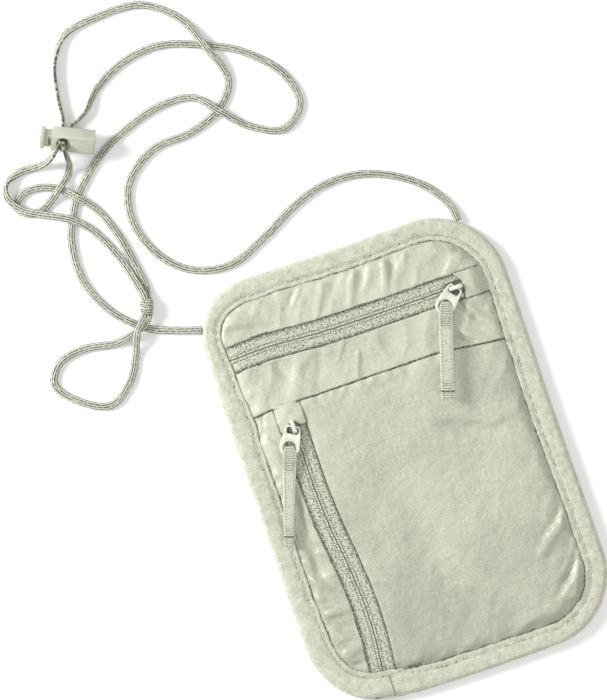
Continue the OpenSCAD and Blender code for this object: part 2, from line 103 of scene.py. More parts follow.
LOOP_ROUTE = [
    (-80.9, 90.6, OVER, 0), (-83.6, 87.4, OVER, 0), (-88, 86, OVER, 0), (-97, 84.2, 0.8, 0),
    (-110, 86.3, LOW, 0), (-121.5, 84.2, LOW, 0), (-126.8, 76.4, LOW, 0), (-120, 67, LOW, 0),
    (-107.4, 60.8, LOW, 0), (-96.6, 67.8, LOW, 0), (-91, 77.5, 0.9, 0), (-87.3, 85.9, 3.9, 0),
    (-82, 91.4, 2.4, 0)]
RIGHT_ROUTE = [
    (-80, 97.5, 3.4, 0), (-80.9, 103.5, OVER, 0), (-82.4, 110, 1.1, 0), (-84.5, 117, LOW, 0),
    (-90.5, 130, 0.8, 0), (-97.6, 138, OVER, 0), (-110, 144.8, OVER, 0), (-116.8, 149.2, OVER, 0),
    (-120.3, 155.8, OVER, 20), (-118.6, 161, 1.7, 60), (-112, 163.6, 0.8, 0),
    (-102.5, 163.6, 1.6, 10), (-97, 165, 6.8, 50), (-94.4, 166.7, 9.2, 80), (-92.6, 168.2, 9, 90),
    (-92, 169.5, 7.5, 90), (-90.7, 172.2, 3.1, 90), (-90, 173.8, 1.6, 90), (-88, 178.2, EDGE, 90),
    (-87, 187, EDGE, 90), (-83.6, 201.5, 1.5, 80), (-76.5, 211, 0.9, 30), (-60, 214, LOW, 0),
    (-42, 212.5, LOW, 0), (-29, 202, LOW, 0), (-23, 188.4, OVER, 0), (-18.4, 171.5, LOW, 0),
    (-26.6, 161.3, LOW, 0), (-40, 156.3, LOW, 0), (-57, 154.7, LOW, 0), (-71, 144.5, LOW, 0),
    (-74.6, 129, LOW, 0), (-69, 113, LOW, 0), (-58, 102.7, LOW, 0), (-42, 99.5, LOW, 0),
    (-24.5, 106.2, LOW, 0), (-10, 113.7, LOW, 0), (4, 118, LOW, 0), (19, 117.7, LOW, 0),
    (33, 112.3, LOW, 0), (44, 104, LOW, 0), (51.2, 93, 0.9, 0), (52.3, 86, 1.6, 0)]
CORD_W, CORD_T = 3.0, 1.3
KNOT_ENDS = [(-79.4, 97.6, 2.5), (-81.5, 90.8, 2.5)]


# ---------------------------------------------------------------- camera, lights, floor
def camera():
    """Straight down on the pouch, turned so that it leans to the left, through a long lens."""
    turn = math.radians(-19)
    centre = (-25.25 * MM, 56.48 * MM)
    height = 2.0
    view_h = 0.2875
    data = bpy.data.cameras.new("camera")
    data.sensor_width = 36
    data.lens = 36 * height / view_h
    data.clip_start = 0.05
    data.clip_end = 20
    cam = bpy.data.objects.new("camera", data)
    cam.location = (*centre, height + FRONT_Z * MM)
    cam.rotation_euler = (0, 0, turn)
    bpy.context.collection.objects.link(cam)
    bpy.context.scene.camera = cam


def area_light(name, place, target, size, power):
    data = bpy.data.lights.new(name, "AREA")
    data.shape = "DISK"
    data.size = size
    data.energy = power
    light = bpy.data.objects.new(name, data)
    light.location = place
    light.rotation_euler = (Vector(target) - Vector(place)).to_track_quat("-Z", "Y").to_euler()
    bpy.context.collection.objects.link(light)


def studio():
    """A pale floor, a soft key from the upper left, a wide fill and an even sky."""
    middle = (-0.02, 0.05, 0)
    area_light("key", (-1.05, 0.8, 0.62), middle, 0.5, 25)
    area_light("fill", (0.8, -0.9, 0.9), middle, 1.2, 5)
    area_light("satin", (-0.086, 0.115, 1.5), (-0.086, 0.115, 0), 0.16, 4.2)
    world = bpy.data.worlds.new("sky")
    world.use_nodes = True
    world.node_tree.nodes["Background"].inputs["Color"].default_value = (1, 1, 1, 1)
    world.node_tree.nodes["Background"].inputs["Strength"].default_value = 0.5
    bpy.context.scene.world = world
    bpy.context.scene.view_settings.view_transform = "Standard"
    half = 1.5
    mesh = bpy.data.meshes.new("floor")
    mesh.from_pydata([(-half, -half, 0), (half, -half, 0), (half, half, 0), (-half, half, 0)], [],
                     [(0, 1, 2, 3)])
    floor = bpy.data.objects.new("floor", mesh)
    bpy.context.collection.objects.link(floor)
    floor.location.z = -0.0002
    floor.data.materials.append(plain("floor", (0.94, 0.94, 0.935), 0.9))


# ---------------------------------------------------------------- shader helpers
def srgb(r, g, b):
    """Linear colour from 0 to 255 display values."""
    return tuple(((c / 255 + 0.055) / 1.055) ** 2.4 if c > 10 else c / 255 / 12.92 for c in (r, g, b))


def plain(name, color, rough, **sockets):
    material = bpy.data.materials.new(name)
    material.use_nodes = True
    shader = material.node_tree.nodes["Principled BSDF"]
    shader.inputs["Base Color"].default_value = (*color, 1)
    shader.inputs["Roughness"].default_value = rough
    for key, value in sockets.items():
        shader.inputs[key.replace("_", " ")].default_value = value
    material.diffuse_color = (*color, 1)
    return material


class Shader:
    """Adds nodes to a material. A value may be a number, a tuple or another node's output."""

    def __init__(self, material):
        self.tree = material.node_tree
        self.surface = self.tree.nodes["Principled BSDF"]
        self.normal = None

    def node(self, kind, output=0, props=None, **inputs):
        node = self.tree.nodes.new("ShaderNode" + kind)
        for key, value in (props or {}).items():
            setattr(node, key, value)
        for key, value in inputs.items():
            socket = node.inputs[int(key[1:])] if key[0] == "i" and key[1:].isdigit() else node.inputs[key]
            if isinstance(value, bpy.types.NodeSocket):
                self.tree.links.new(value, socket)
            else:
                socket.default_value = value
        return node.outputs[output]

    def math(self, operation, a, b=0.0, c=0.0):
        return self.node("Math", props={"operation": operation}, i0=a, i1=b, i2=c)

    def place(self):
        return self.node("TexCoord", "Object")

    def along(self):
        """Distance along and across a narrow piece, in metres."""
        return self.node("UVMap", props={"uv_map": "run"})

    def axes(self, vector):
        split = self.tree.nodes.new("ShaderNodeSeparateXYZ")
        self.tree.links.new(vector, split.inputs[0])
        return split.outputs

    def noise(self, vector, size, detail=2.0, rough=0.5):
        return self.node("TexNoise", "Fac", Vector=vector, Scale=1 / size, Detail=detail, Roughness=rough)

    def cells(self, vector, size):
        return self.node("TexVoronoi", "Distance", Vector=vector, Scale=1 / size)

    def wave(self, value, period, phase=0.0):
        return self.math("SINE", self.math("MULTIPLY_ADD", value, 2 * math.pi / period, phase))

    def remap(self, value, low, high, out_low=0.0, out_high=1.0):
        return self.node("MapRange", i0=value, i1=low, i2=high, i3=out_low, i4=out_high)

    def mix(self, factor, a, b):
        return self.node("Mix", 2, props={"data_type": "RGBA"}, i0=factor, i6=a, i7=b)

    def tint(self, factor, dark, light):
        """Sets the base colour between two linear colours."""
        color = self.mix(factor, (*dark, 1), (*light, 1))
        self.tree.links.new(color, self.surface.inputs["Base Color"])
        return color

    def rough(self, value):
        self.tree.links.new(value, self.surface.inputs["Roughness"])

    def bump(self, height, depth, strength=1.0):
        inputs = {"Height": height, "Distance": depth, "Strength": strength}
        if self.normal is not None:
            inputs["Normal"] = self.normal
        self.normal = self.node("Bump", **inputs)
        self.tree.links.new(self.normal, self.surface.inputs["Normal"])


def scaled(color, k):
    return tuple(c * k for c in color)


def front_fabric():
    """Thin satin ripstop: fine threads, a faint grid, slow changes of tone, a painted light gradient from the
    upper left, and painted shade along the sewn edges.
    """
    base = srgb(179, 180, 161)
    material = plain("front_fabric", base, 0.29, Specular_IOR_Level=0.5, Sheen_Weight=0.1,
                     Sheen_Roughness=0.4)
    s = Shader(material)
    place = s.place()
    x, y, _ = s.axes(place)
    _, edge, _ = s.axes(s.along())
    threads = s.math("MULTIPLY", s.wave(x, 0.00033), s.wave(y, 0.00033))
    grid = s.math("MAXIMUM", s.remap(s.wave(x, 0.0026), 0.93, 1.0), s.remap(s.wave(y, 0.0026), 0.93, 1.0))
    slow = s.remap(s.noise(place, 0.05, 2), 0.35, 0.65, -0.28, 0.28)
    tone = s.remap(s.noise(place, 0.012, 4, 0.6), 0.3, 0.7, 0.3, 0.7)
    grain = s.remap(s.noise(place, 0.0011, 3, 0.8), 0.3, 0.7, -0.45, 0.45)
    # painted light and shade: lighter toward the upper left, darker toward the lower right, by place on the
    # pouch
    painted_light_slope = s.remap(s.math("SUBTRACT", y, s.math("MULTIPLY", x, 0.35)), -0.09, 0.06, -0.3, 0.3)
    shade = s.math("ADD", s.math("ADD", tone, slow), s.math("ADD", grain, painted_light_slope))
    color = s.mix(s.math("SUBTRACT", shade, s.math("MULTIPLY", grid, 0.12)), (*scaled(base, 0.84), 1),
                  (*scaled(base, 1.16), 1))
    # painted shade: a dark, dashed line along every sewn edge, where the seam gap lies in shade
    dash = s.remap(s.noise(s.along(), 0.0018, 3, 0.75), 0.42, 0.54, 0.1, 1)
    seam = s.math("MULTIPLY", s.remap(edge, 0.0001, 0.0005, 0.95, 0), dash)
    color = s.mix(seam, color, (*srgb(66, 67, 55), 1))
    s.tree.links.new(color, s.surface.inputs["Base Color"])
    s.bump(s.noise(place, 0.0042, 5, 0.62), 0.0008, 0.7)
    s.bump(s.math("ADD", s.math("MULTIPLY", threads, 0.5), grid), 0.00003, 0.6)
    return material


def knit(name, base, sewn=False):
    """Brushed knit with a short felted nap. A sewn one has painted shade in dark pits along its stitch row
    and in a broken line at its inner lip.
    """
    material = plain(name, base, 0.95, Specular_IOR_Level=0.15, Sheen_Weight=0.3, Sheen_Roughness=0.6)
    s = Shader(material)
    place = s.place()
    fibres = s.noise(place, 0.0011, 5, 0.8)
    patches = s.noise(place, 0.0035, 3, 0.6)
    shade = s.math("ADD", s.remap(fibres, 0.34, 0.66, 0, 0.65), s.remap(patches, 0.33, 0.67, 0, 0.4))
    color = s.mix(shade, (*scaled(base, 0.66), 1), (*scaled(base, 1.2), 1))
    if sewn:
        _, v, _ = s.axes(s.along())
        # painted shade: dark pits along the stitch row and a broken dark line at the lip
        off = s.math("ABSOLUTE", s.math("SUBTRACT", v, STITCH_BACK * MM))
        broken = s.noise(s.along(), 0.0016, 3, 0.75)
        pits = s.math("MULTIPLY", s.remap(off, 0.0002, 0.0007, 1, 0), s.remap(broken, 0.53, 0.6))
        lip = s.math("MULTIPLY", s.remap(v, 0.0001, 0.0004, 1, 0), s.remap(broken, 0.45, 0.55))
        dark = s.math("MULTIPLY", s.math("MAXIMUM", pits, lip), 0.75)
        color = s.mix(dark, color, (*srgb(84, 85, 72), 1))
    s.tree.links.new(color, s.surface.inputs["Base Color"])
    s.bump(fibres, 0.0004, 0.8)
    s.bump(s.cells(place, 0.0007), 0.00012, 0.5)
    return material


def zip_tape():
    """Woven polyester tape: fine twill with small dark gaps, and a needle row beside the slit. Painted shade
    darkens the needle holes, the slit and a broken line along the outer edge.
    """
    base = srgb(196, 196, 178)
    material = plain("zip_tape", base, 0.85, Specular_IOR_Level=0.2, Sheen_Weight=0.2)
    s = Shader(material)
    run = s.along()
    u, v, _ = s.axes(run)
    twill = s.wave(s.math("ADD", u, v), 0.0007)
    cross_wave = s.wave(s.math("SUBTRACT", u, v), 0.0009)
    gaps = s.math("MULTIPLY", s.remap(twill, -1, 1), s.remap(cross_wave, -1, 1))
    specks = s.noise(run, 0.0009, 4, 0.9)
    away = s.math("ABSOLUTE", v)
    # painted shade in the needle holes beside the slit
    row = s.remap(s.math("ABSOLUTE", s.math("SUBTRACT", away, 0.0013)), 0.0002, 0.00042, 1, 0)
    holes = s.math("MULTIPLY", row, s.remap(s.wave(u, 0.00105), 0.0, 0.6, 0, 0.95))
    # dark specks of the weave, made denser toward the outer edge as painted shade under the fabric's folded
    # edge
    rim = s.remap(away, 0.0038, 0.0053)
    grain = s.remap(s.math("ADD", specks, s.math("MULTIPLY", rim, 0.09)), 0.505, 0.6, 0, 0.85)
    # painted shade in the slit between the two tapes
    slit = s.remap(away, 0.00015, 0.0003, 0.85, 0)
    # painted shade under the fabric's folded edge: a broken dark line near the outer edge
    line = s.math("MULTIPLY", s.remap(away, 0.0046, 0.0051), s.remap(s.noise(run, 0.0007, 2, 0.8), 0.4, 0.55))
    dark = s.math("MAXIMUM", s.math("MAXIMUM", holes, grain), s.math("MAXIMUM", line, slit))
    s.tint(s.math("SUBTRACT", 1, dark), srgb(64, 65, 53), scaled(base, 1.12))
    s.bump(s.math("SUBTRACT", gaps, s.math("MULTIPLY", dark, 1.5)), 0.00012, 0.8)
    return material


def cord_braid():
    """Flat braid: three lengthwise ribs of crossing yarns, with painted shade in the dotted gaps between
    them.
    """
    base = srgb(204, 205, 188)
    material = plain("cord", base, 0.75, Specular_IOR_Level=0.25, Sheen_Weight=0.15)
    s = Shader(material)
    run = s.along()
    u, v, _ = s.axes(run)
    left = s.wave(s.math("MULTIPLY_ADD", v, 0.9, u), 0.0013)
    right = s.wave(s.math("MULTIPLY_ADD", v, -0.9, u), 0.0013)
    yarns = s.math("MULTIPLY", left, right)
    ribs = s.wave(v, 0.00098, math.pi / 2)
    broken = s.noise(run, 0.0011, 2, 0.7)
    # painted shade in the gaps between the ribs
    gaps = s.math("MULTIPLY", s.remap(ribs, 0.35, -0.45), s.remap(broken, 0.4, 0.5, 0.25, 1))
    patch = s.remap(s.noise(run, 0.02, 2), 0.35, 0.65, 0.75, 1.0)
    dark = s.math("MULTIPLY", gaps, patch)
    s.tint(s.math("SUBTRACT", 1, dark), srgb(58, 59, 47), base)
    s.bump(s.math("SUBTRACT", yarns, s.math("MULTIPLY", dark, 2)), 0.00015, 0.8)
    return material


def webbing():
    """Narrow ribbed webbing, crosswise ribs that are closest where it is bar-tacked, with painted shade in
    the rib grooves there and a line of painted shade at the end fold.
    """
    base = srgb(190, 191, 174)
    material = plain("webbing", base, 0.85, Specular_IOR_Level=0.2, Sheen_Weight=0.3)
    s = Shader(material)
    run = s.along()
    u, v, _ = s.axes(run)
    fibres = s.noise(run, 0.0008, 3, 0.75)
    away = s.math("ABSOLUTE", v)
    border = s.remap(s.math("ABSOLUTE", s.math("SUBTRACT", away, 0.0019)), 0.0001, 0.0004, 1, 0)
    dots = s.math("MULTIPLY", border, s.remap(s.wave(u, 0.0012), 0, 0.7))
    checks = s.math("MULTIPLY", s.wave(u, 0.0011), s.wave(v, 0.0012))
    from_ring = s.math("ABSOLUTE", u)
    tacked = s.math("MAXIMUM", s.remap(from_ring, 0.0125, 0.0105), s.remap(from_ring, 0.0325, 0.034))
    # painted shade in the grooves between the ribs near the tacks
    ribs = s.math("MULTIPLY", s.remap(s.wave(u, 0.001), 0.1, 0.9, 0, 0.9), s.remap(away, 0.0024, 0.002))
    ribs = s.math("MULTIPLY", ribs, s.math("MULTIPLY", tacked, s.remap(fibres, 0.35, 0.6, 0.4, 1)))
    # painted shade: a dark line across the end fold
    fold = s.remap(s.math("ABSOLUTE", s.math("SUBTRACT", from_ring, 0.0375)), 0.0002, 0.0005, 0.95, 0)
    dark = s.math("MAXIMUM", s.remap(fibres, 0.5, 0.66, 0, 0.6), s.math("MULTIPLY", dots, 0.8))
    dark = s.math("MAXIMUM", s.math("MAXIMUM", dark, ribs), fold)
    s.tint(s.math("SUBTRACT", 1, dark), srgb(84, 85, 71), scaled(base, 1.1))
    s.bump(s.math("ADD", fibres, checks), 0.0001, 0.6)
    return material


def moulded(name, base, rough):
    """Satin painted or moulded surface with a faint orange-peel and slight handling wear."""
    material = plain(name, base, rough, Specular_IOR_Level=0.5, Coat_Weight=0.15, Coat_Roughness=0.2)
    s = Shader(material)
    place = s.place()
    wear = s.noise(place, 0.0035, 4, 0.6)
    s.tint(s.remap(wear, 0.3, 0.7), scaled(base, 0.93), scaled(base, 1.04))
    s.rough(s.remap(wear, 0.3, 0.7, rough + 0.08, rough - 0.05))
    s.bump(s.noise(place, 0.0007, 2), 0.00002, 0.5)
    return material


def slider_paint_and_shade():
    """Painted slider whose plates carry painted shade, as if in the shade of the tab, below a bright bail."""
    material = moulded("slider", srgb(212, 213, 196), 0.3)
    s = Shader(material)
    _, _, z = s.axes(s.place())
    # painted shade: dark below the bail's height, bright above it
    height = s.remap(z, (FRONT_Z + 0.5) * MM, (FRONT_Z + 1.0) * MM)
    s.tint(height, srgb(70, 71, 58), srgb(206, 207, 190))
    return material


def thread(name, base):
    material = plain(name, base, 0.7, Sheen_Weight=0.3)
    s = Shader(material)
    place = s.place()
    ply = s.noise(place, 0.0003, 3)
    s.tint(ply, scaled(base, 0.75), base)
    s.bump(ply, 0.00005, 0.6)
    return material


def lining():
    base = srgb(196, 197, 180)
    material = plain("lining", base, 0.7, Sheen_Weight=0.1)
    s = Shader(material)
    place = s.place()
    x, y, _ = s.axes(place)
    weave = s.math("MULTIPLY", s.wave(x, 0.0005), s.wave(y, 0.0005))
    s.tint(s.remap(weave, -1, 1), scaled(base, 0.9), base)
    s.bump(weave, 0.00003, 0.5)
    return material


def nylon():
    base = srgb(214, 215, 200)
    material = plain("zip_coil", base, 0.35, Specular_IOR_Level=0.5)
    s = Shader(material)
    drawn = s.noise(s.place(), 0.0008, 2)
    s.tint(drawn, scaled(base, 0.9), base)
    s.bump(drawn, 0.00002, 0.4)
    return material


def steel():
    base = (0.55, 0.55, 0.56)
    material = plain("spring_steel", base, 0.3, Metallic=1.0)
    s = Shader(material)
    drawn = s.noise(s.place(), 0.0005, 3)
    s.rough(s.remap(drawn, 0.3, 0.7, 0.22, 0.4))
    s.bump(drawn, 0.00001, 0.4)
    return material


# ---------------------------------------------------------------- mesh helpers
def add_object(name, mesh, body, material, nodes=()):
    """Links a finished mesh, parents it to the body it rides on, gives it its finish and hides the frame
    nodes it stands for.
    """
    for polygon in mesh.polygons:
        polygon.use_smooth = True
    piece = bpy.data.objects.new(name, mesh)
    bpy.context.collection.objects.link(piece)
    mesh.materials.append(material)
    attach(piece, body)
    if nodes:
        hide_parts(*nodes)
    return piece


def outward(mesh):
    work = bmesh.new()
    work.from_mesh(mesh)
    bmesh.ops.recalc_face_normals(work, faces=work.faces)
    work.to_mesh(mesh)
    work.free()


def mesh_from(name, points, faces, uv=None):
    """Mesh from points in millimetres. uv holds one pair of metres per point."""
    mesh = bpy.data.meshes.new(name)
    mesh.from_pydata((np.asarray(points, float) * MM).tolist(), [], faces)
    if uv is not None:
        layer = mesh.uv_layers.new(name="run")
        index = np.empty(len(mesh.loops), dtype=np.int32)
        mesh.loops.foreach_get("vertex_index", index)
        layer.data.foreach_set("uv", np.asarray(uv, float)[index].ravel())
    outward(mesh)
    return mesh


def quads(nu, nv, close_u=False, close_v=False, start=0):
    rows = nu if close_u else nu - 1
    cols = nv if close_v else nv - 1
    i, j = np.meshgrid(np.arange(rows), np.arange(cols), indexing="ij")
    i2, j2 = (i + 1) % nu, (j + 1) % nv
    cells = np.stack([i * nv + j, i * nv + j2, i2 * nv + j2, i2 * nv + j], -1).reshape(-1, 4)
    return (cells + start).tolist()


def tube(name, rings, uv=None, close_u=False):
    """Closed tube from an array of rings, its two ends capped unless it closes on itself."""
    nu, nv, _ = rings.shape
    faces = quads(nu, nv, close_u, True)
    if not close_u:
        faces.append(list(range(nv)))
        faces.append(list(range((nu - 1) * nv, nu * nv)))
    return mesh_from(name, rings.reshape(-1, 3), faces, None if uv is None else uv.reshape(-1, 2))


def sheet(name, top, thick, uv=None):
    """Closed thin sheet: a grid of points and its copy, thick lower along the normal."""
    du = np.gradient(top, axis=0)
    dv = np.gradient(top, axis=1)
    normal = np.cross(du, dv)
    normal /= np.linalg.norm(normal, axis=2, keepdims=True) + 1e-12
    if normal[..., 2].mean() < 0:
        normal = -normal
    under = top - normal * thick
    rings = np.concatenate([top, under[:, ::-1]], axis=1)
    nu, nv, _ = rings.shape
    half = nv // 2
    faces = quads(nu, nv, False, True)
    for row in (0, nu - 1):
        base = row * nv
        faces += [[base + j, base + j + 1, base + nv - 2 - j, base + nv - 1 - j] for j in range(half - 1)]
    both = None if uv is None else np.concatenate([uv, uv[:, ::-1]], axis=1).reshape(-1, 2)
    return mesh_from(name, rings.reshape(-1, 3), faces, both)


def unit(vectors):
    """Vectors at length one. The small term keeps one of no length at zero."""
    return vectors / (np.linalg.norm(vectors, axis=-1, keepdims=True) + 1e-9)


def tangents(curve):
    return unit(np.gradient(curve, axis=0))


def smoothstep(low, high, x):
    t = np.clip((x - low) / (high - low), 0, 1)
    return t * t * (3 - 2 * t)


LATTICE = rng.rand(64, 64)


def noise(x, y, size, turn=0.0, stretch=1.0):
    """Smooth repeatable noise from -1 to 1, with features of size, longer along the turned x axis."""
    c, s = math.cos(math.radians(turn)), math.sin(math.radians(turn))
    u = (x * c + y * s) / (size * stretch) + 31.7
    v = (y * c - x * s) / size + 17.3
    iu, iv = np.floor(u).astype(int), np.floor(v).astype(int)
    fu, fv = u - iu, v - iv
    fu, fv = fu * fu * (3 - 2 * fu), fv * fv * (3 - 2 * fv)
    a = LATTICE[iu % 64, iv % 64] * (1 - fu) + LATTICE[(iu + 1) % 64, iv % 64] * fu
    b = LATTICE[iu % 64, (iv + 1) % 64] * (1 - fu) + LATTICE[(iu + 1) % 64, (iv + 1) % 64] * fu
    return 2 * (a * (1 - fv) + b * fv) - 1


def through(points, step):
    """Centripetal Catmull-Rom curve through points, resampled at an even step. Extra columns ride along."""
    p = np.array(points, float)
    p = np.vstack([2 * p[0] - p[1], p, 2 * p[-1] - p[-2]])
    samples = []
    for k in range(1, len(p) - 2):
        p0, p1, p2, p3 = p[k - 1:k + 3]
        t = [0.0]
        for a, b in ((p0, p1), (p1, p2), (p2, p3)):
            t.append(t[-1] + max(np.linalg.norm((b - a)[:3]), 1e-6) ** 0.5)
        x = np.linspace(t[1], t[2], 24, endpoint=False)[:, None]
        a1 = (t[1] - x) / (t[1] - t[0]) * p0 + (x - t[0]) / (t[1] - t[0]) * p1
        a2 = (t[2] - x) / (t[2] - t[1]) * p1 + (x - t[1]) / (t[2] - t[1]) * p2
        a3 = (t[3] - x) / (t[3] - t[2]) * p2 + (x - t[2]) / (t[3] - t[2]) * p3
        b1 = (t[2] - x) / (t[2] - t[0]) * a1 + (x - t[0]) / (t[2] - t[0]) * a2
        b2 = (t[3] - x) / (t[3] - t[1]) * a2 + (x - t[1]) / (t[3] - t[1]) * a3
        samples.append((t[2] - x) / (t[2] - t[1]) * b1 + (x - t[1]) / (t[2] - t[1]) * b2)
    curve = np.vstack(samples + [p[-2][None]])
    length = np.concatenate([[0], np.cumsum(np.linalg.norm(np.diff(curve[:, :3], axis=0), axis=1))])
    even = np.linspace(0, length[-1], max(2, int(length[-1] / step) + 1))
    return np.stack([np.interp(even, length, curve[:, c]) for c in range(curve.shape[1])], 1), even


# ---------------------------------------------------------------- pouch outline
def inset_of(x, y):
    """How far a place lies inside the ideal rounded outline, in millimetres."""
    radius = np.where(x > 0, np.where(y > 0, CORNERS["tr"], CORNERS["br"]),
                      np.where(y > 0, CORNERS["tl"], CORNERS["bl"]))
    qx, qy = np.abs(x) - HALF_W + radius, np.abs(y) - HALF_H + radius
    outside = np.hypot(np.maximum(qx, 0), np.maximum(qy, 0))
    return radius - outside - np.minimum(np.maximum(qx, qy), 0)


def outline(step):
    """Points, outward normals and running length of the outline, from the right side anticlockwise."""
    rows = []
    corners = [("tr", 1, 1, 0), ("tl", -1, 1, 90), ("bl", -1, -1, 180), ("br", 1, -1, 270)]
    for k, (name, sx, sy, angle) in enumerate(corners):
        r = CORNERS[name]
        centre = np.array([sx * (HALF_W - r), sy * (HALF_H - r)])
        turns = np.radians(np.linspace(angle, angle + 90, int(r * math.pi / 2 / step)))
        rows += [(*(centre + r * np.array([math.cos(a), math.sin(a)])), math.cos(a), math.sin(a))
                 for a in turns]
        after, nx, ny, _ = corners[(k + 1) % 4]
        r2 = CORNERS[after]
        target = np.array([nx * (HALF_W - r2), ny * (HALF_H - r2)])
        normal = np.array([math.cos(math.radians(angle + 90)), math.sin(math.radians(angle + 90))])
        first, last = centre + r * normal, target + r2 * normal
        count = int(np.linalg.norm(last - first) / step)
        rows += [(*(first + (last - first) * t), *normal) for t in np.arange(1, count) / count]
    data = np.array(rows)
    gaps = np.linalg.norm(np.diff(np.vstack([data[:, :2], data[:1, :2]]), axis=0), axis=1)
    return data[:, :2], data[:, 2:], np.concatenate([[0], np.cumsum(gaps)[:-1]]), gaps.sum()


def edge_drift(x, y):
    """How far the soft edge falls short of the ideal outline, sewn a little uneven."""
    pull = 0.5 + 0.45 * np.exp(-((y / 40) ** 2)) * (x > 40)
    pull = pull + 0.6 * np.exp(-((x / 18) ** 2)) * (y > 70)
    pull = pull + 1.0 * np.exp(-(((x + 63) / 8) ** 2 + ((y - 68) / 14) ** 2))
    pull = pull + 1.5 * np.exp(-(((x + 38) / 9) ** 2 + ((y + 92) / 10) ** 2))
    pull = pull - 0.5 * np.exp(-(((x - 5) / 25) ** 2 + ((y + 92) / 10) ** 2))
    pull = pull + 0.5 * (y < -80) * smoothstep(-35.2, -36.0, x) * smoothstep(-50, -40, x)
    return pull


def binding_lip(x, y):
    """Width of the binding on the front face, where its inner edge is sewn down."""
    width = BINDING_W + 0.9 * np.exp(-(((x - 3) / 22) ** 2)) * (y > 70)
    width = width + 1.0 * np.exp(-(((y - 5) / 45) ** 2)) * (np.abs(x) > 45)
    width = width + 3.6 * np.exp(-(((x + 36) / 13) ** 2 + ((y + 84) / 9) ** 2))
    width = width - 0.5 * np.exp(-(((x - 33) / 14) ** 2 + ((y + 88) / 10) ** 2))
    width = width - 1.3 * np.exp(-(((x + 52) / 9) ** 2 + ((y - 76) / 9) ** 2))
    width = width + 1.6 * np.exp(-(((x + 54) / 11) ** 2 + ((y + 62) / 20) ** 2))
    width = width + 1.1 * np.exp(-(((x + 55) / 8) ** 2 + ((y - 35) / 9) ** 2))
    return width + 0.28 * noise(x, y, 5.5) + 0.2 * noise(x, y, 2.2) + 0.12 * noise(x, y, 1.1)


# ---------------------------------------------------------------- zip lines
def zip_top_y(x):
    """Middle line of the top zip: the slider's straight path, with the tape's slight bow."""
    straight = TOP_AT[1] + (TOP_AT[0] - x) * math.tan(math.radians(1))
    bow_x = [-58, -54, -40, -28, -17, 0, 20, 36, 60]
    bow_y = [-0.3, -0.2, 0.5, 0.0, -0.5, -0.6, -0.3, 0.0, 0.0]
    curve, _ = through(np.c_[bow_x, bow_y, np.zeros(9)], 1.0)
    return straight + np.interp(x, curve[:, 0], curve[:, 1])


def zip_side_x(y):
    """Middle line of the side zip, bowed toward the main panel low down."""
    straight = SIDE_AT[0] + (SIDE_AT[1] - y) * math.tan(math.radians(1.3))
    bow_y = [-95, -84, -78, -70, -60, -50, -40, -28, -20, -10, 0, 12, 24, 45]
    bow_x = [-1.0, -0.7, -0.2, 0.9, 1.8, 2.1, 1.8, 0.9, 0.1, -0.4, -0.6, -0.4, 0.0, 0.0]
    curve, _ = through(np.c_[bow_y, bow_x, np.zeros(14)], 1.0)
    return straight + np.interp(y, curve[:, 0], curve[:, 1])
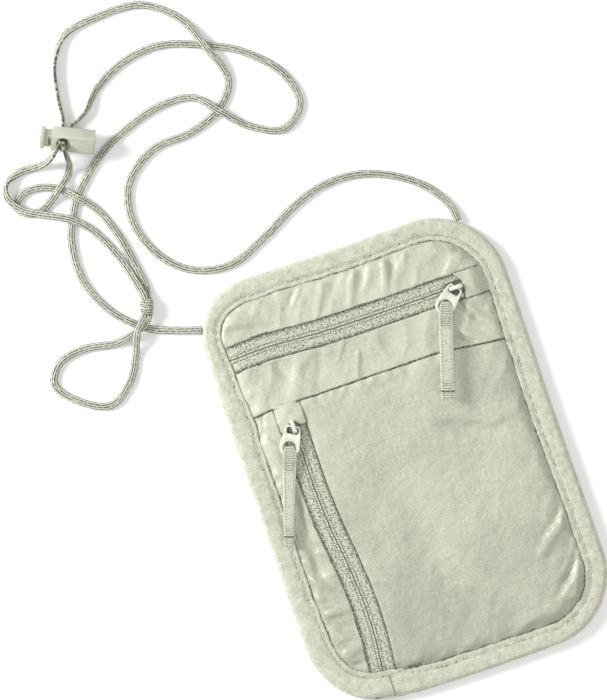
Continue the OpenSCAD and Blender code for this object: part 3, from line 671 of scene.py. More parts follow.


# ---------------------------------------------------------------- shape of the front
# Folds: start, end, half width, height at the start and height at the end, all in millimetres.
# They are laid one by one, and a negative height is a valley
FOLDS = [
    # top panel, drawn down from the seam
    (-18, 82, -25.5, 74, 1.1, 0.8, 0.1), (-20.5, 81, -28, 72, 1.3, -0.5, 0.0),
    (-8, 82, -15, 68, 1.4, 0.5, 0.3), (-3, 81, -9, 70, 1.6, -0.4, -0.1), (5, 82, -1, 68, 1.3, 0.7, 0.3),
    (8, 80, 3, 68, 1.6, -0.4, -0.1), (18, 82, 14, 67, 1.4, 0.7, 0.4), (21, 80, 18, 70, 1.6, -0.4, -0.1),
    (27, 82, 25, 76, 1.3, 0.5, 0.1), (36, 82, 31, 77, 1.8, -0.3, 0.0),
    (47, 72, 40.5, 66.5, 1.7, 0.6, 0.5), (53, 74, 46, 77, 1.2, -0.7, -0.1),
    (-53, 77, -36, 73, 2.2, 0.6, 0.1), (-50, 72, -30, 69, 2.0, -0.3, 0.0),
    (-37, 82, -42, 76, 2.2, 0.35, 0.0),
    # yoke
    (-26, 54, -36, 39, 2.6, 0.5, 0.4), (-37, 53, -33, 46, 2.2, -0.5, -0.2),
    (-49, 39, -45, 50, 1.6, 0.5, 0.1), (-52, 46, -46, 47, 1.6, 0.4, 0.1),
    (-9, 55, -12.5, 49, 0.9, 0.6, 0.2), (-4.5, 48, -8, 38.5, 0.8, 0.4, 0.4),
    (-19, 53, -24, 40, 2.0, -0.3, -0.2), (4, 54, 1, 40, 2.6, 0.25, 0.1),
    (41.5, 54, 46, 46, 1.1, -0.7, -0.3), (44.5, 51, 52, 41, 1.2, 0.5, 0.2),
    (46, 47, 52, 40, 0.9, -0.5, -0.2), (37, 42, 42, 37, 0.8, -0.6, -0.4), (40, 42, 47, 37, 1.3, 0.4, 0.3),
    (48, 54, 54, 49, 1.6, 0.4, 0.1),
    # main panel
    (17, 13, 38, 4.5, 2.2, 0.4, 0.6), (38, 4.5, 54, 7, 2.2, 0.6, 0.3), (24, 8, 50, -2, 4.0, -0.5, -0.2),
    (24, -79, 38, -76.5, 1.8, 0.3, 0.6), (38, -76.5, 47, -73, 1.7, 0.6, 0.65),
    (47, -73, 55.5, -62, 1.6, 0.65, 0.4), (40, -74, 47, -67, 1.6, -0.2, -0.5),
    (47, -67, 56, -56, 1.4, -0.5, -0.4), (41, -54, 54.5, -42, 2.0, 0.5, 0.9),
    (40, -50, 54, -39, 1.8, -0.1, -0.5), (45, -59, 56, -51, 2.0, 0.2, -0.4),
    (-24, 36, -21, 31, 1.3, 0.4, 0.0), (-15, 36.5, -19, 32, 1.5, 0.35, 0.0),
    (-2, 36.5, -8, 30, 1.6, 0.4, 0.0), (8, 36.5, 5, 32, 1.4, 0.3, 0.0),
    (-28, 20, -27, -70, 5.0, 0.25, 0.35), (-10, 5, 2, -60, 7.0, -0.25, -0.35),
    (34, 30, 50, 24, 2.6, 0.3, 0.2), (-22, -79, -18, -72, 1.6, 0.4, 0.0), (2, -81, 0, -74, 1.8, 0.3, 0.0),
    # side panel
    (-54, 33, -50, 22, 1.5, 0.5, 0.3), (-50, 36, -53, 26, 1.0, -0.4, -0.1),
    (-49, -4, -48.5, -32, 2.6, -0.8, -0.8), (-53.5, -33.5, -47.5, -39, 1.2, 0.8, 0.2),
    (-53, -42, -50, -46, 0.9, 0.6, 0.1), (-51, -50, -42, -49.5, 1.3, 0.7, 0.7),
    (-52, -55, -44, -57, 2.0, -0.4, -0.3), (-53, -62.5, -48, -61, 0.9, 0.5, 0.1),
    (-51, -69, -42.5, -65.5, 1.6, 0.8, 0.6), (-49, -73, -43, -72, 1.2, -0.3, -0.3),
    (-52, 12, -47, 6, 1.5, 0.4, 0.2)]


def fold_height(x, y):
    total = np.zeros_like(x)
    for x0, y0, x1, y1, width, h0, h1 in FOLDS:
        dx, dy = x1 - x0, y1 - y0
        length = math.hypot(dx, dy)
        along = ((x - x0) * dx + (y - y0) * dy) / length ** 2
        off = ((x - x0) * dy - (y - y0) * dx) / length
        off = off + 0.35 * width * noise(x, y, 6.0)
        t = np.clip(along, 0, 1)
        ends = np.exp(-(((along - t) * length / (1.6 * width)) ** 2))
        total += (h0 + (h1 - h0) * t) * ends * np.exp(-((off / width) ** 2))
    return total



def ridged(x, y, size, turn, stretch):
    """Crumple with sharp crests and soft valleys, from -1 to 1."""
    return 1 - 2 * np.abs(noise(x, y, size, turn, stretch)) ** 0.8


def front_height(x, y, pinned, crumple):
    """Height of the front fabric: a soft pillow inside the binding, folds, and crumple.

    pinned is the distance to the nearest sewn edge that isn't the binding. crumple is a height.
    """
    inside = inset_of(x, y) - binding_lip(x, y)
    near_tape = np.exp(-np.maximum(pinned, 0) / 2.5)
    rise = 1 - np.exp(-np.maximum(inside, 0) / 1.9)
    level = FRONT_Z - 0.4 + 0.35 * near_tape
    sewn_down = 0.6 - 0.45 * noise(x, y, 2.6)
    z = BINDING_TOP - sewn_down + (level - BINDING_TOP + sewn_down) * rise
    free = smoothstep(-0.3, 3.5, np.minimum(inside, pinned + 1.4))
    seam = np.exp(-np.maximum(inside, 0) / 3.0)
    pucker = noise(x, y, 3.0, 28, 1.6) * seam * 0.6 * smoothstep(-1, 1.5, inside)
    fine = 0.08 * noise(x, y, 3.2, 35, 1.5) + 0.03 * noise(x, y, 1.5)
    z = z + (1.9 * fold_height(x, y) + 1.25 * crumple + fine) * free + pucker
    return CEILING - 0.16 * np.logaddexp(0, (CEILING - z) / 0.16)


def hem(edge_gap):
    """Drop of a folded edge where it rolls down onto the tape."""
    return -0.55 * np.exp(-((np.maximum(edge_gap, 0) / 0.45) ** 2))


def span(low, high, count, dense_low=False, dense_high=False):
    """Parameters from 0 to 1, packed closer where an edge rolls over."""
    t = np.linspace(0, 1, count)
    extra = np.array([0.15, 0.35, 0.7, 1.1]) / (high - low)
    if dense_low:
        t = np.union1d(t, extra)
    if dense_high:
        t = np.union1d(t, 1 - extra)
    return t


def outline_top(x, inset):
    """Upper edge of the inset outline above x."""
    r = np.where(x > 0, CORNERS["tr"], CORNERS["tl"]) - inset
    past = np.maximum(np.abs(x) - (HALF_W - inset - r), 0)
    return HALF_H - inset - r + np.sqrt(np.maximum(r ** 2 - past ** 2, 0))


def outline_bottom(x, inset):
    r = np.where(x > 0, CORNERS["br"], CORNERS["bl"]) - inset
    past = np.maximum(np.abs(x) - (HALF_W - inset - r), 0)
    return -(HALF_H - inset - r) - np.sqrt(np.maximum(r ** 2 - past ** 2, 0))



def panel(name, x, y, z, material, gap):
    edge = np.minimum(gap, inset_of(x, y) - binding_lip(x, y))
    uv = np.stack([x + 0.7 * y, edge], -1) * MM
    cloth = sheet(name, np.stack([x, y, z], -1), FRONT_CLOTH, uv)
    piece = add_object(name + "_cloth", cloth, "root", material, [name])


def panels(material):
    side = HALF_W - UNDER
    # top panel
    u = np.linspace(-side, side, int(2 * side / GRID))
    v = span(0, 16, 30, dense_low=True)
    x = np.repeat(u[:, None], len(v), 1)
    low = zip_top_y(x) + TAPE_SHOW + 0.15 * noise(x, x * 0, 3)
    y = low + (outline_top(x, UNDER) - low) * v
    crumple = 0.24 * ridged(x, y, 6.5, 62, 2.6) + 0.18 * noise(x, y, 9)
    z = front_height(x, y, y - low, crumple) + hem(y - low)
    panel("top_panel", x, y, z, material, y - low)
    # yoke, whose lower edge laps over the panels below it
    v = span(0, 18, 34, dense_low=True, dense_high=True)
    x = np.repeat(u[:, None], len(v), 1)
    high = zip_top_y(x) - TAPE_SHOW - 0.15 * noise(x, x * 0 + 9, 3)
    low = yoke_line(x)
    y = low + (high - low) * v
    gap = np.minimum(high - y, y - low)
    crumple = 0.34 * ridged(x, y, 9, 70, 1.7) + 0.2 * noise(x, y, 13)
    z = front_height(x, y, gap, crumple) + hem(high - y) + 0.6 * hem(y - low)
    panel("yoke_panel", x, y, z, material, gap)
    # main panel
    v = span(-85, 38, 195, dense_high=True)
    tile = np.linspace(0, 1, 150)
    tile = np.union1d(tile, np.array([0.15, 0.35, 0.7]) / 90)
    y_guess = yoke_line(20.0) - 115 * (1 - v)[None, :]
    left = zip_side_x(y_guess) + TAPE_SHOW
    x = left + (side - left) * tile[:, None]
    low = outline_bottom(x, UNDER)
    high = yoke_line(x) - 0.1
    y = low + (high - low) * v
    left = zip_side_x(y) + TAPE_SHOW
    x = left + (side - left) * tile[:, None]
    gap = np.minimum(x - left, high - y)
    calm = smoothstep(0, 14, np.minimum(gap, inset_of(x, y) - BINDING_W))
    crumple = 0.42 * noise(x, y, 21, 35, 1.4) + (0.25 - 0.17 * calm) * ridged(x, y, 9, 50, 1.6)
    z = front_height(x, y, gap, crumple) + hem(x - left) - 0.7 * np.exp(-(high - y) / 1.0)
    z = z + seam_puckers(x, high - y)
    panel("main_panel", x, y, z, material, gap)
    # side panel
    v = span(-85, 38, 195, dense_high=True)
    tile = span(-58, -45, 26, dense_high=True)
    y_guess = yoke_line(-50.0) - 112 * (1 - v)[None, :]
    right = zip_side_x(y_guess) - TAPE_SHOW
    x = -side + (right + side) * tile[:, None]
    low = outline_bottom(x, UNDER)
    high = yoke_line(x) - 0.1
    y = low + (high - low) * v
    right = zip_side_x(y) - TAPE_SHOW
    x = -side + (right + side) * tile[:, None]
    gap = np.minimum(right - x, high - y)
    crumple = 0.38 * ridged(x, y, 7.5, -15, 1.3) + 0.25 * noise(x, y, 6)
    z = front_height(x, y, gap, crumple) + hem(right - x) - 0.7 * np.exp(-(high - y) / 1.0)
    panel("side_panel", x, y, z, material, gap)


def yoke_line(x):
    """Height of the yoke's lower edge across the pouch, a little lower at both ends."""
    x = np.asarray(x, float)
    drop = 3.2 * smoothstep(22, 58, x) + 1.0 * smoothstep(-44, -56, x)
    return YOKE_Y + 0.25 - drop + 0.12 * noise(x, x * 0 + 4, 2.5)


def seam_puckers(x, gap):
    """Small gathers in the fabric that is sewn under the yoke."""
    return 0.5 * noise(x, gap * 0.3, 3.0) * np.exp(-((gap - 2.0) / 2.6) ** 2)


# ---------------------------------------------------------------- binding
def binding(material):
    base, normal, run, total = outline(0.8)
    x0, y0 = base[:, 0], base[:, 1]
    drift = edge_drift(x0, y0)
    lip = binding_lip(x0 - normal[:, 0] * 9, y0 - normal[:, 1] * 9)
    # Profile, as a share of the way round: back leg, fold, front leg, then inside the fold
    profile = []
    for t in np.linspace(1, 0, 9)[:-1]:
        profile.append(("back", t))
    for a in np.linspace(-80, 80, 7):
        profile.append(("fold", a))
    for t in np.linspace(0, 1, 26)[1:]:
        profile.append(("front", t))
    profile += [("turn", 0.35), ("turn", 0.8)]
    profile += [("inner", 0.7), ("inner", 0.15), ("inner_back", 0.15), ("inner_back", 0.9)]
    rings = np.zeros((len(base), len(profile), 3))
    uv = np.zeros((len(base), len(profile), 2))
    uv[:, :, 0] = run[:, None] * MM
    mid, half = BINDING_TOP / 2, BINDING_TOP / 2
    stitch = STITCH_BACK
    for k, (kind, t) in enumerate(profile):
        if kind == "back":
            inset = drift + 1.0 + (BINDING_W - 1.2) * t
            z = np.full_like(inset, 0.02) + 0.12 * np.exp(-(((BINDING_W - 2.3) - inset) / 0.5) ** 2)
        elif kind == "fold":
            a = math.radians(t)
            inset = drift + 1.2 * (1 - math.cos(a))
            z = mid + half * 0.97 * math.sin(a) + np.zeros_like(drift)
        elif kind == "front":
            inset = drift + 1.2 + (lip - drift - 1.2) * t
            px, py = x0 - normal[:, 0] * inset, y0 - normal[:, 1] * inset
            puff = 0.35 * np.sin(np.pi * np.clip((inset - drift) / (lip - stitch - drift), 0, 1)) ** 0.7
            groove = -0.14 * np.exp(-(((lip - stitch) - inset) / 0.55) ** 2)
            edge = 0.04 * np.exp(-(((lip - 0.9) - inset) / 0.6) ** 2) - 0.3 * smoothstep(0.95, 1.0, t)
            lapped = (py < -70) * smoothstep(-35.9, -35.3, px) * smoothstep(-22, -27, px)
            edge = edge + 0.3 * lapped
            wave = 0.14 * noise(px, py, 7) + 0.09 * noise(px, py, 2.6) + 0.04 * noise(px, py, 1.2)
            pull = -0.16 * (0.5 + 0.5 * np.cos(2 * np.pi * run / STITCH_PITCH))
            pull = pull * np.exp(-(((lip - stitch) - inset) / 0.8) ** 2)
            z = BINDING_TOP + puff + groove + edge + wave * smoothstep(0, 0.1, t) + pull
        elif kind == "turn":
            inset = lip + 0.12 - 0.2 * t
            z = BINDING_TOP - 0.15 - 0.55 * t + np.zeros_like(inset)
        else:
            inset = drift + 0.9 + (BINDING_W - 1.6) * t
            z = (BINDING_TOP - 0.65 if kind == "inner" else 0.65) + np.zeros_like(inset)
        rings[:, k, 0] = x0 - normal[:, 0] * inset
        rings[:, k, 1] = y0 - normal[:, 1] * inset
        rings[:, k, 2] = z
        uv[:, k, 1] = (lip - inset) * MM if kind in ("front", "turn") else 0.005
    piece = add_object("edge_binding_tape", tube("edge_binding", rings, uv, close_u=True), "root", material,
                       ["edge_binding"])
    return base, normal, run, total, lip



def thread_stitch(points, radius, sides=6):
    """One stitch: a short thread that rises through its points and dips at both ends."""
    curve, _ = through([(*p, 0) for p in points], 0.25)
    return thread_rings(curve[:, :3], radius, sides)


def thread_rings(curve, radius, sides):
    """Round rings of a thread along a curve. A ring shrinks to a point where the curve is upright."""
    tangent = tangents(curve)
    across = unit(np.cross(tangent, [0, 0, 1]))
    up = np.cross(across, tangent)
    angle = np.linspace(0, 2 * np.pi, sides, endpoint=False)[None, :, None]
    return curve[:, None] + radius * (np.cos(angle) * across[:, None] + np.sin(angle) * up[:, None])


def join_tubes(name, tubes):
    points, faces, start = [], [], 0
    for rings in tubes:
        nu, nv, _ = rings.shape
        points.append(rings.reshape(-1, 3))
        faces += quads(nu, nv, False, True, start)
        faces.append([start + j for j in range(nv)])
        faces.append([start + (nu - 1) * nv + j for j in range(nv)])
        start += nu * nv
    return mesh_from(name, np.vstack(points), faces)


def binding_stitches(material, shape):
    """The zigzag row that holds the binding, a little inside its lip."""
    base, normal, run, total, lip = shape
    count = int(total / STITCH_PITCH)
    tubes = []
    for k in range(count):
        ends = []
        for step, side in ((0.12, -0.35), (0.88, 0.35)):
            at = (k + step) * total / count
            i = np.searchsorted(run, at % total) % len(run)
            inset = lip[i] - STITCH_BACK + (side if k % 2 else -side)
            ends.append(np.array([*(base[i] - normal[i] * inset), BINDING_TOP]))
        a, b = ends
        lift = np.array([0, 0, 0.16])
        sink = np.array([0, 0, -0.3])
        crest = [a + lift * 0.6, (a + b) / 2 + lift, b + lift * 0.6]
        tubes.append(thread_stitch([a + sink, *crest, b + sink], 0.13))
    add_object("binding_stitches", join_tubes("binding_stitches", tubes), "root", material,
               ["binding_thread"])


def seam_stitches(material):
    """Sunken stitches along the yoke's lower edge and beside the garage flaps. Their dark colour is painted
    shade of the seam gaps, laid on the thread.
    """
    tubes = []
    x = -54.0
    while x < 53.5:
        length = 1.55 + 0.35 * float(noise(np.array(x), np.array(3.0), 1.7))
        level = FRONT_Z - (0.1 if -46.5 < x < -33.5 else 0.62)
        a, b = (np.array([p, float(yoke_line(p)) - 0.12, level]) for p in (x, x + length))
        tubes.append(sunk_stitch(a, b, 0.1))
        x += length + 0.55
    sides = [((SIDE_AT[0] - 5.8, YOKE_Y - 0.4), (SIDE_AT[0] - 6.0, YOKE_Y - 10.5)),
             ((SIDE_AT[0] + 5.8, YOKE_Y - 0.4), (SIDE_AT[0] + 6.0, YOKE_Y - 8)),
             ((TOP_AT[0] + 0.5, TOP_AT[1] + 5.9), (TOP_AT[0] + 11.5, TOP_AT[1] + 5.75)),
             ((TOP_AT[0] + 3.5, TOP_AT[1] - 5.8), (TOP_AT[0] + 12.5, TOP_AT[1] - 5.8))]
    for first, last in sides:
        first, last = np.array(first), np.array(last)
        count = int(np.linalg.norm(last - first) / 2.0)
        for k in range(count):
            a, b = (np.array([*(first + (last - first) * t / count), FRONT_Z - 0.35])
                    for t in (k + 0.05, k + 0.8))
            tubes.append(sunk_stitch(a, b, 0.12))
    add_object("seam_stitches", join_tubes("seam_stitches", tubes), "root", material)


def sunk_stitch(a, b, lift, radius=0.23):
    """A stitch from a to b that dives into the cloth at both ends."""
    middle = (a + b) / 2 + np.array([0, 0, lift])
    return thread_stitch([a - SINK, a, middle, b, b - SINK], radius)


def bar_tack(material):
    """The loose tack threads at the binding's inner edge, and the row that closes its lapped join."""
    tubes = []
    for k in range(19):
        x = -31.5 + 0.52 * k
        sway = float(noise(np.array(k * 1.0), np.array(2.0), 1.3))
        if sway > 0.6:
            continue
        a = np.array([x, -80.6 + 0.5 * sway, BINDING_TOP + 0.25])
        b = np.array([x + 0.6 + 0.3 * sway, -81.7 - 0.5 * sway, BINDING_TOP + 0.25])
        tubes.append(thread_stitch([a - SINK, a, b, b - SINK], 0.13))
    for k in range(8):
        y = -81.4 - 1.15 * k
        crown = BINDING_TOP + 0.92 - 0.04 * max(k - 5, 0) ** 2
        a, b = np.array([-35.7, y, crown]), np.array([-35.6, y - 0.8, crown])
        tubes.append(thread_stitch([a - SINK, a, b, b - SINK], 0.15))
    add_object("binding_bar_tack", join_tubes("binding_bar_tack", tubes), "root", material)


# ---------------------------------------------------------------- zips
def tape(name, along, middle, direction, side, material):
    """One woven tape beside the zip's middle line, its inner edge turned down at the slit."""
    t = np.array([0.10, 0.14, 0.2, 0.35, 0.6, 0.85, 1.05, 1.25, 1.45, 1.7, 2.1, 2.6, 3.1, 3.6, 4.1, 4.5, 4.8,
                  5.1, 5.4, 5.8, 6.2])
    drop = np.array([0.45, 0.12, 0.03, 0, 0, 0, 0, 0, 0, 0, 0, 0, 0, 0, 0, 0, 0, 0.02, 0.05, 0.08, 0.1])
    s = np.linspace(along[0], along[1], int(abs(along[1] - along[0]) / 0.36))
    S, T = np.meshgrid(s, t, indexing="ij")
    post = TOP_AT[0] + POST_AHEAD if direction == "x" else SIDE_AT[1] + POST_AHEAD
    T = np.maximum(T, (0.3 + 0.1 * T) * np.exp(-(((S - post) / 2.6) ** 6)))
    centre = middle(S)
    if direction == "x":
        x, y = S, centre + side * T
    else:
        x, y = centre + side * T, S
    inside = inset_of(x, y) - binding_lip(x, y)
    fall = (1 - np.exp(-np.maximum(inside, 0) / 1.5)) - 1
    holes = 0.16 * np.exp(-((T - 1.25) / 0.3) ** 2) * smoothstep(0.2, 0.9, np.cos(2 * np.pi * S / 1.45))
    wave = 0.05 * noise(x, y, 4) + 0.025 * noise(x, y, 0.8)
    z = TAPE_Z - drop[None, :] - holes + wave + fall * (TAPE_Z - BINDING_TOP + 0.9)
    uv = np.stack([S, side * T], -1) * MM
    weave = sheet(name, np.stack([x, y, z], -1), 0.4, uv)
    add_object(name + "_weave", weave, "root", material, [name])


def zip_tapes(material):
    side = HALF_W - UNDER
    tape("top_zip_upper_tape", (-side, side), zip_top_y, "x", 1, material)
    tape("top_zip_lower_tape", (-side, side), zip_top_y, "x", -1, material)
    low = BOX["side_zip_left_tape"][0][1] + 2
    high = YOKE_Y + 2.6
    tape("side_zip_left_tape", (low, high), zip_side_x, "y", -1, material)
    tape("side_zip_right_tape", (low, high), zip_side_x, "y", 1, material)


def coil_row(name, along, middle, direction, side, material):
    """Nylon coil under a tape: one flattened helix whose turns reach past the slit."""
    pitch = 1.3
    steps = 14
    turns = int(abs(along[1] - along[0]) / pitch)
    k = np.arange(turns * steps) / steps
    s = along[0] + np.sign(along[1] - along[0]) * (k + (0.5 if side > 0 else 0)) * pitch
    a = 2 * np.pi * k
    reach = 0.72 + 1.05 * np.cos(a)
    z = (BOX[name][0][2] + BOX[name][1][2]) / 2 + 0.38 * np.sin(a)
    across = middle(s) + side * reach
    curve = np.stack([s, across, z], 1) if direction == "x" else np.stack([across, s, z], 1)
    helix = join_tubes(name, [thread_rings(curve, 0.2, 6)])
    add_object(name + "_helix", helix, "root", material, [name])


def coils(material):
    top = (BOX["top_zip_upper_coil"][1][0], BOX["top_zip_upper_coil"][0][0])
    side = (BOX["side_zip_left_coil"][1][1], BOX["side_zip_left_coil"][0][1])
    coil_row("top_zip_upper_coil", top, zip_top_y, "x", 1, material)
    coil_row("top_zip_lower_coil", top, zip_top_y, "x", -1, material)
    coil_row("side_zip_left_coil", side, zip_side_x, "y", -1, material)
    coil_row("side_zip_right_coil", side, zip_side_x, "y", 1, material)


def flap_uv(x, y, across, free):
    """Run and edge distance of a flap, whose two long sides are sewn and whose free side is folded."""
    return np.stack([x + 0.7 * y, np.minimum(11.8 * np.minimum(across, 1 - across), free + 0.15)], -1) * MM


def flap(name, x, y, z, uv, material):
    cloth = sheet(name, np.stack([x, y, z], -1), FRONT_CLOTH, uv)
    piece = add_object(name + "_cloth", cloth, "root", material, [name])


def garages(material):
    """The flaps over the slider noses: rolled free edge, sewn long sides."""
    box = BOX["top_zip_garage"]
    top_z = box[1][2]
    u = span(45, 57, 26, dense_low=True)
    v = span(54, 67, 30, dense_low=True, dense_high=True)
    U, V = np.meshgrid(u, v, indexing="ij")
    bulge = 0.55 * np.sin(np.pi * V)
    x0 = box[0][0] - 0.2 - 2.3 * smoothstep(0.6, 1.0, V) - 0.7 * smoothstep(0.35, 0.0, V)
    x = x0 + (57.2 - x0) * U
    y = TOP_AT[1] - 5.85 + 11.7 * V
    z = top_z - 0.35 * np.exp(-((x - x0) / 0.35) ** 2) + 0.22 * noise(x, y, 3.5)
    z = z - 0.75 * (1 - np.sin(np.pi * np.clip(V, 0.0, 1.0)) ** 0.35)
    z = z - smoothstep(49, 57.5, x) * (top_z - BINDING_TOP + 0.6) + bulge * 0.25 * (1 - U)
    flap("top_zip_garage", x, y, z, flap_uv(x, y, V, x - x0), material)
    box = BOX["side_zip_garage"]
    top_z = box[1][2]
    u = span(-46, -34, 30, dense_low=True, dense_high=True)
    v = span(27, 38, 26, dense_low=True)
    U, V = np.meshgrid(u, v, indexing="ij")
    x = SIDE_AT[0] - 5.9 + 11.8 * U
    off = x - SIDE_AT[0]
    arch = np.where(off < 0, 3.7 * np.clip(1 + off / 5.0, 0, 1), 3.7 * np.exp(-((off / 2.6) ** 2)))
    arch = arch + 1.2 * smoothstep(0.6, 1.0, U)
    y0 = box[0][1] - 1.4 + arch
    y = y0 + (YOKE_Y + 0.9 - y0) * V
    z = top_z - 0.35 * np.exp(-((y - y0) / 0.35) ** 2) + 0.3 * noise(x, y, 3.2)
    z = z - 0.8 * (1 - np.sin(np.pi * np.clip(U, 0.0, 1.0)) ** 0.35) - 0.8 * smoothstep(0.55, 1.0, V)
    flap("side_zip_garage", x, y, z, flap_uv(x, y, U, y - y0), material)


def slimmed(work, at, turn):
    """Narrows a slider's upper plate and widens its bail, across the zip."""
    plate_top = at[2] - 0.6
    across = np.array([-math.sin(turn), math.cos(turn)])
    for vert in work.verts:
        x, y, z = np.array(vert.co) / MM
        off = float(np.dot(np.array([x, y]) - at[:2], across))
        if z > plate_top - 0.05 and abs(off) < 0.7:
            grow = 0.45 * off
        elif z > plate_top - 0.85:
            grow = -0.24 * off
        else:
            grow = 0.0
        vert.co = Vector((x + across[0] * grow, y + across[1] * grow, z)) * MM


def round_edges(work, limit, width):
    """Bevels every edge that turns by more than limit degrees."""
    sharp = [e for e in work.edges if len(e.link_faces) == 2 and e.calc_face_angle() > math.radians(limit)]
    bmesh.ops.bevel(work, geom=sharp, offset=width, segments=3, profile=0.5, affect="EDGES",
                    clamp_overlap=True)


def split_faces(work):
    bmesh.ops.triangulate(work, faces=[f for f in work.faces if len(f.verts) > 4])


def softened(node, body, material, width, slim=None):
    """A copy of a hard piece with its edges rounded over, in place of the sharp frame node."""
    work = bmesh.new()
    work.from_mesh(frame["nodes"][node].data)
    bmesh.ops.remove_doubles(work, verts=work.verts, dist=0.00001)
    if slim:
        slimmed(work, *slim)
    bmesh.ops.dissolve_limit(work, angle_limit=math.radians(2), verts=work.verts, edges=work.edges)
    round_edges(work, 32, width * MM)
    bmesh.ops.recalc_face_normals(work, faces=work.faces)
    split_faces(work)
    mesh = bpy.data.meshes.new(node + "_soft")
    work.to_mesh(mesh)
    work.free()
    return add_object(node + "_rounded", mesh, body, material, [node])


def circle(x, y, radius, count=40):
    angle = np.linspace(0, 2 * np.pi, count, endpoint=False)
    return [Vector((x + radius * math.cos(a), y + radius * math.sin(a))) for a in angle]


def hull(*circles):
    points = [p for ring in circles for p in ring]
    return [points[i] for i in geometry.convex_hull_2d(points)]


def pull_tab(name, at, ring, material):
    """A teardrop plate with a round ring hole, a soft-cornered eye and its crossbar."""
    reach = math.hypot(*(ring - at)[:2])
    turn = math.atan2(ring[1] - at[1], ring[0] - at[0])
    eye = hull(*[circle(u, v, 0.9) for u in (0.45 + 0.9, EYE_L - 0.9) for v in (-1.6, 1.6)])
    loops = [hull(circle(reach, 0, TAB_RIM), circle(1.1, 2.2, 1.1), circle(1.1, -2.2, 1.1)),
             circle(reach + RING_SHIFT, 0, RING_R), eye]
    work = bmesh.new()
    for loop in loops:
        verts = [work.verts.new((p.x, p.y, -TAB_T / 2)) for p in loop]
        for k in range(len(verts)):
            work.edges.new((verts[k - 1], verts[k]))
    bmesh.ops.triangle_fill(work, use_beauty=True, use_dissolve=False, edges=work.edges[:])
    bmesh.ops.dissolve_limit(work, angle_limit=math.radians(1), verts=work.verts, edges=work.edges)
    grown = bmesh.ops.extrude_face_region(work, geom=work.faces[:])
    for item in grown["geom"]:
        if isinstance(item, bmesh.types.BMVert):
            item.co.z += TAB_T
    bmesh.ops.recalc_face_normals(work, faces=work.faces)
    round_edges(work, 60, 0.22)
    split_faces(work)
    bar = np.array([(0, v, 0) for v in np.linspace(-2.75, 2.75, 12)], float)
    rings = thread_rings(bar, 0.48, 14)
    verts = [work.verts.new(tuple(p)) for p in rings.reshape(-1, 3)]
    for face in quads(12, 14, False, True):
        work.faces.new([verts[i] for i in face])
    work.faces.new(verts[:14])
    work.faces.new(verts[-14:])
    bmesh.ops.recalc_face_normals(work, faces=work.faces)
    c, sn = math.cos(turn), math.sin(turn)
    for vert in work.verts:
        x, y, z = vert.co
        vert.co = Vector((at[0] + x * c - y * sn, at[1] + x * sn + y * c, at[2] + z)) * MM
    mesh = bpy.data.meshes.new(name + "_plate")
    work.to_mesh(mesh)
    work.free()
    add_object(name + "_plate", mesh, name, material, [name])



def pulls(material):
    top_rise = BOX["top_pull_webbing"][1][2] - 0.05 - TOP_RING[2]
    pull_webbing("top_pull_webbing", TOP_RING, 252.4, 38.4, top_rise, -1.3, 2.7, material)
    pull_webbing("side_pull_webbing", SIDE_RING, 250.7, 41.0, 0.0, -0.2, 1.95, material)


def pull_webbing(name, ring, turn, length, rise, bight, end_half, material):
    """Webbing folded round the ring's rim: a hairpin with crosswise ribs and raised borders.

    bight is how far in from the ring's middle the fold lies, end_half half the width at the end.
    """
    rim = 4.6
    turn = math.radians(turn)
    under = [(length, -0.55), (length - 12, -0.6), (18, -0.62), (14, -0.64), (11, -0.66), (6, -0.72),
             (3.8, -0.74)]
    fold = [(bight + 1.8, -0.7), (bight + 0.5, -0.5), (bight, 0.0), (bight + 0.5, 0.5), (bight + 1.8, 0.74)]
    over = [(rim - 1, 0.8), (rim, 0.76), (6.6, 0.3), (8.6, -0.1), (11, -0.16), (14, -0.16), (18, -0.15),
            (length - 12, -0.12), (length, -0.08)]
    route = under + fold + over
    lift = rise * smoothstep(8.0, 17.5, np.array([a for a, _ in route]))
    curve, run = through([(a, 0, b + up) for (a, b), up in zip(route, lift)], 0.22)
    tangent = tangents(curve)
    normal = np.stack([tangent[:, 2], np.zeros(len(run)), -tangent[:, 0]], 1)
    lateral = np.array([0, 1, 0])
    u = np.linspace(-1, 1, 15)
    half = np.interp(curve[:, 0], [bight, bight + 1.6, 4.4, length - 6, length],
                     [min(1.7 + max(bight, 0) * 0.5, 2.1), 2.45, 2.95, end_half + 0.15, end_half])
    tacked = smoothstep(11.5, 9.0, curve[:, 0]) + smoothstep(length - 7.0, length - 4.0, curve[:, 0])
    ribs = np.cos(2 * np.pi * run) * (0.04 + 0.12 * tacked)
    ring_points = []
    for sign in (1, -1):
        for k in (u if sign > 0 else u[::-1]):
            border = 0.06 * np.exp(-((abs(k) - 0.88) / 0.1) ** 2)
            thick = 0.20 * (1 - abs(k) ** 8) + border
            inner = 1 - smoothstep(0.75, 0.85, abs(k)) * 0.6
            height = sign * (thick + ribs * inner * (0.6 if sign < 0 else 1.0))
            ring_points.append(curve + lateral * (k * half)[:, None] + normal * height[:, None])
    rings = np.stack(ring_points, 1)
    c, s = math.cos(turn), math.sin(turn)
    x = ring[0] + rings[..., 0] * c - rings[..., 1] * s
    y = ring[1] + rings[..., 0] * s + rings[..., 1] * c
    z = ring[2] + rings[..., 2]
    across = np.concatenate([u, u[::-1]]) * 2.95
    from_ring = run - run[np.argmin(curve[:, 0])]
    uv = np.stack(np.broadcast_arrays(from_ring[:, None], across[None, :]), -1) * MM
    add_object(name + "_woven", tube(name, np.stack([x, y, z], -1), uv), name, material, [name])


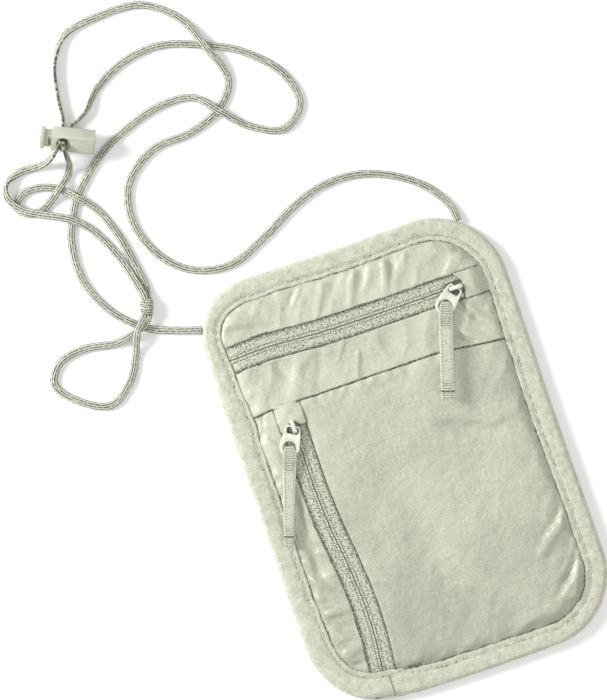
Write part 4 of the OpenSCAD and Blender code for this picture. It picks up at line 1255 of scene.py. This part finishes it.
# ---------------------------------------------------------------- back
def back(material, inner):
    """The padded back: a soft knit face, drawn in where the binding is sewn round it."""
    u = np.linspace(-1, 1, 120)
    side = HALF_W - UNDER
    x = np.repeat((u * side)[:, None], 170, 1)
    v = np.linspace(0, 1, 170)[None, :]
    low, high = outline_bottom(x, UNDER), outline_top(x, UNDER)
    y = low + (high - low) * v
    inside = inset_of(x, y) - BINDING_W
    swell = smoothstep(0, 9, inside)
    z = BACK_Z - 0.45 * swell + 0.05 * noise(x, y, 12) * swell + 0.02 * noise(x, y, 2)
    top = np.stack([x, y, z + 0.5], -1)
    knitted = sheet("back_panel", top, 0.5)
    piece = add_object("back_panel_knit", knitted, "root", material, ["back_panel"])
    frame["nodes"]["inner_divider"].data.materials.clear()
    frame["nodes"]["inner_divider"].data.materials.append(inner)


# ---------------------------------------------------------------- cord
def cord_route():
    route = [*LEFT_ROUTE, (-79.9, 94.4, 1.9, 0), *LOOP_ROUTE, (-80.9, 94.4, 3.4, 0), *RIGHT_ROUTE]
    return through(route, 0.4)


def flat_frame(curve):
    """Width and thickness directions along a route, from its roll."""
    tangent = tangents(curve[:, :3])
    across = unit(np.cross(tangent, [0, 0, 1]))
    up = np.cross(across, tangent)
    roll = np.radians(curve[:, 3])[:, None]
    return across * np.cos(roll) + up * np.sin(roll), up * np.cos(roll) - across * np.sin(roll)


def braid_section(run, count=26):
    """Half width and half height round the flat braid, with four lengthwise ribs on each face."""
    angle = np.linspace(0, 2 * np.pi, count, endpoint=False)
    wide = np.sign(np.cos(angle)) * np.abs(np.cos(angle)) ** 0.8 * CORD_W / 2
    tall = np.sign(np.sin(angle)) * np.abs(np.sin(angle)) ** 0.62 * CORD_T / 2
    rib = 0.07 * np.cos(2 * np.pi * wide / 0.78 + np.pi)
    knit_wave = 0.05 * np.cos(2 * np.pi * (run[:, None] / 1.0 + np.round(wide / 0.78)[None, :] * 0.5))
    swell = (rib[None, :] + knit_wave) * np.sign(tall)[None, :] * (np.abs(tall) > 0.3)[None, :]
    return np.broadcast_to(wide, swell.shape), tall[None, :] + swell, wide


def cord(material):
    curve, run = cord_route()
    width, thick = flat_frame(curve)
    wide, tall, across = braid_section(run)
    rings = curve[:, None, :3] + width[:, None] * wide[..., None] + thick[:, None] * tall[..., None]
    uv = np.stack(np.broadcast_arrays(run[:, None], across[None, :]), -1) * MM
    nodes = ["cord_left_strand", "cord_right_strand", "cord_end_loop"]
    piece = add_object("neck_cord", tube("neck_cord", rings, uv), "root", material, nodes)
    knot = knot_wraps(material)


def knot_wraps(material):
    """The overhand knot's two and a half wraps of the same flat cord round both strands."""
    a, b = (np.array(p) for p in KNOT_ENDS)
    axis = (b - a) / np.linalg.norm(b - a)
    side = np.cross(axis, [0, 0, 1])
    turns = 2.6
    t = np.linspace(0, 1, 150)
    angle = 2 * np.pi * turns * t + 0.6
    swell = 0.25 * np.sin(np.pi * t)
    ends = smoothstep(0, 0.12, t) * smoothstep(1, 0.88, t)
    radial = np.cos(angle)[:, None] * side + np.sin(angle)[:, None] * np.array([0, 0, 1])
    reach = (1.5 + 0.45 * np.abs(np.cos(angle)) + swell) * (0.45 + 0.55 * ends)
    centre = a + (b - a) * (0.12 + 0.76 * t)[:, None] + radial * reach[:, None]
    tangent = tangents(centre)
    out = unit(radial - tangent * (radial * tangent).sum(1, keepdims=True))
    wide_dir = np.cross(tangent, out)
    run = np.concatenate([[0], np.cumsum(np.linalg.norm(np.diff(centre, axis=0), axis=1))])
    wide, tall, across = braid_section(run)
    rings = centre[:, None] + wide_dir[:, None] * (wide * 0.85)[..., None]
    rings = rings + out[:, None] * (tall * 0.9)[..., None]
    rings[..., 2] = np.maximum(rings[..., 2], 0.05)
    uv = np.stack(np.broadcast_arrays(run[:, None], across[None, :]), -1) * MM
    wraps = tube("cord_knot", rings, uv)
    return add_object("cord_knot_wraps", wraps, "root", material, ["cord_knot"])


# ---------------------------------------------------------------- build
camera()
studio()
braid = cord_braid()
plastic = moulded("cord_lock", srgb(186, 187, 169), 0.35)
painted = moulded("pull_tab", srgb(206, 207, 190), 0.3)
slider_paint_with_shade = slider_paint_and_shade()
spring = frame["nodes"]["lock_spring"]
spring.data.materials.clear()
spring.data.materials.append(steel())
barrel = softened("lock_barrel", "root", plastic, 0.35)
plunger = softened("lock_plunger", "lock_plunger", plastic, 0.3)
cord(braid)

cloth = front_fabric()
panels(cloth)
garages(cloth)
nap = knit("binding", srgb(199, 200, 181), True)
shape = binding(nap)
binding_stitches(thread("thread", srgb(206, 207, 190)), shape)
# dark seam thread: partly thread, partly painted shade of the seam gaps
sunk = thread("seam_thread", srgb(64, 65, 53))
seam_stitches(sunk)
bar_tack(thread("tack_thread", srgb(84, 85, 72)))
zip_tapes(zip_tape())
coils(nylon())
for zip_name in ("top", "side"):
    at, ring, turn = {"top": (TOP_AT, TOP_RING, 179), "side": (SIDE_AT, SIDE_RING, -88.7)}[zip_name]
    softened(zip_name + "_slider", zip_name + "_slider", slider_paint_with_shade, 0.22, (at, math.radians(turn)))
    pull_tab(zip_name + "_pull_tab", at, ring, painted)
pulls(webbing())
back(knit("back_fabric", srgb(198, 199, 181)), lining())
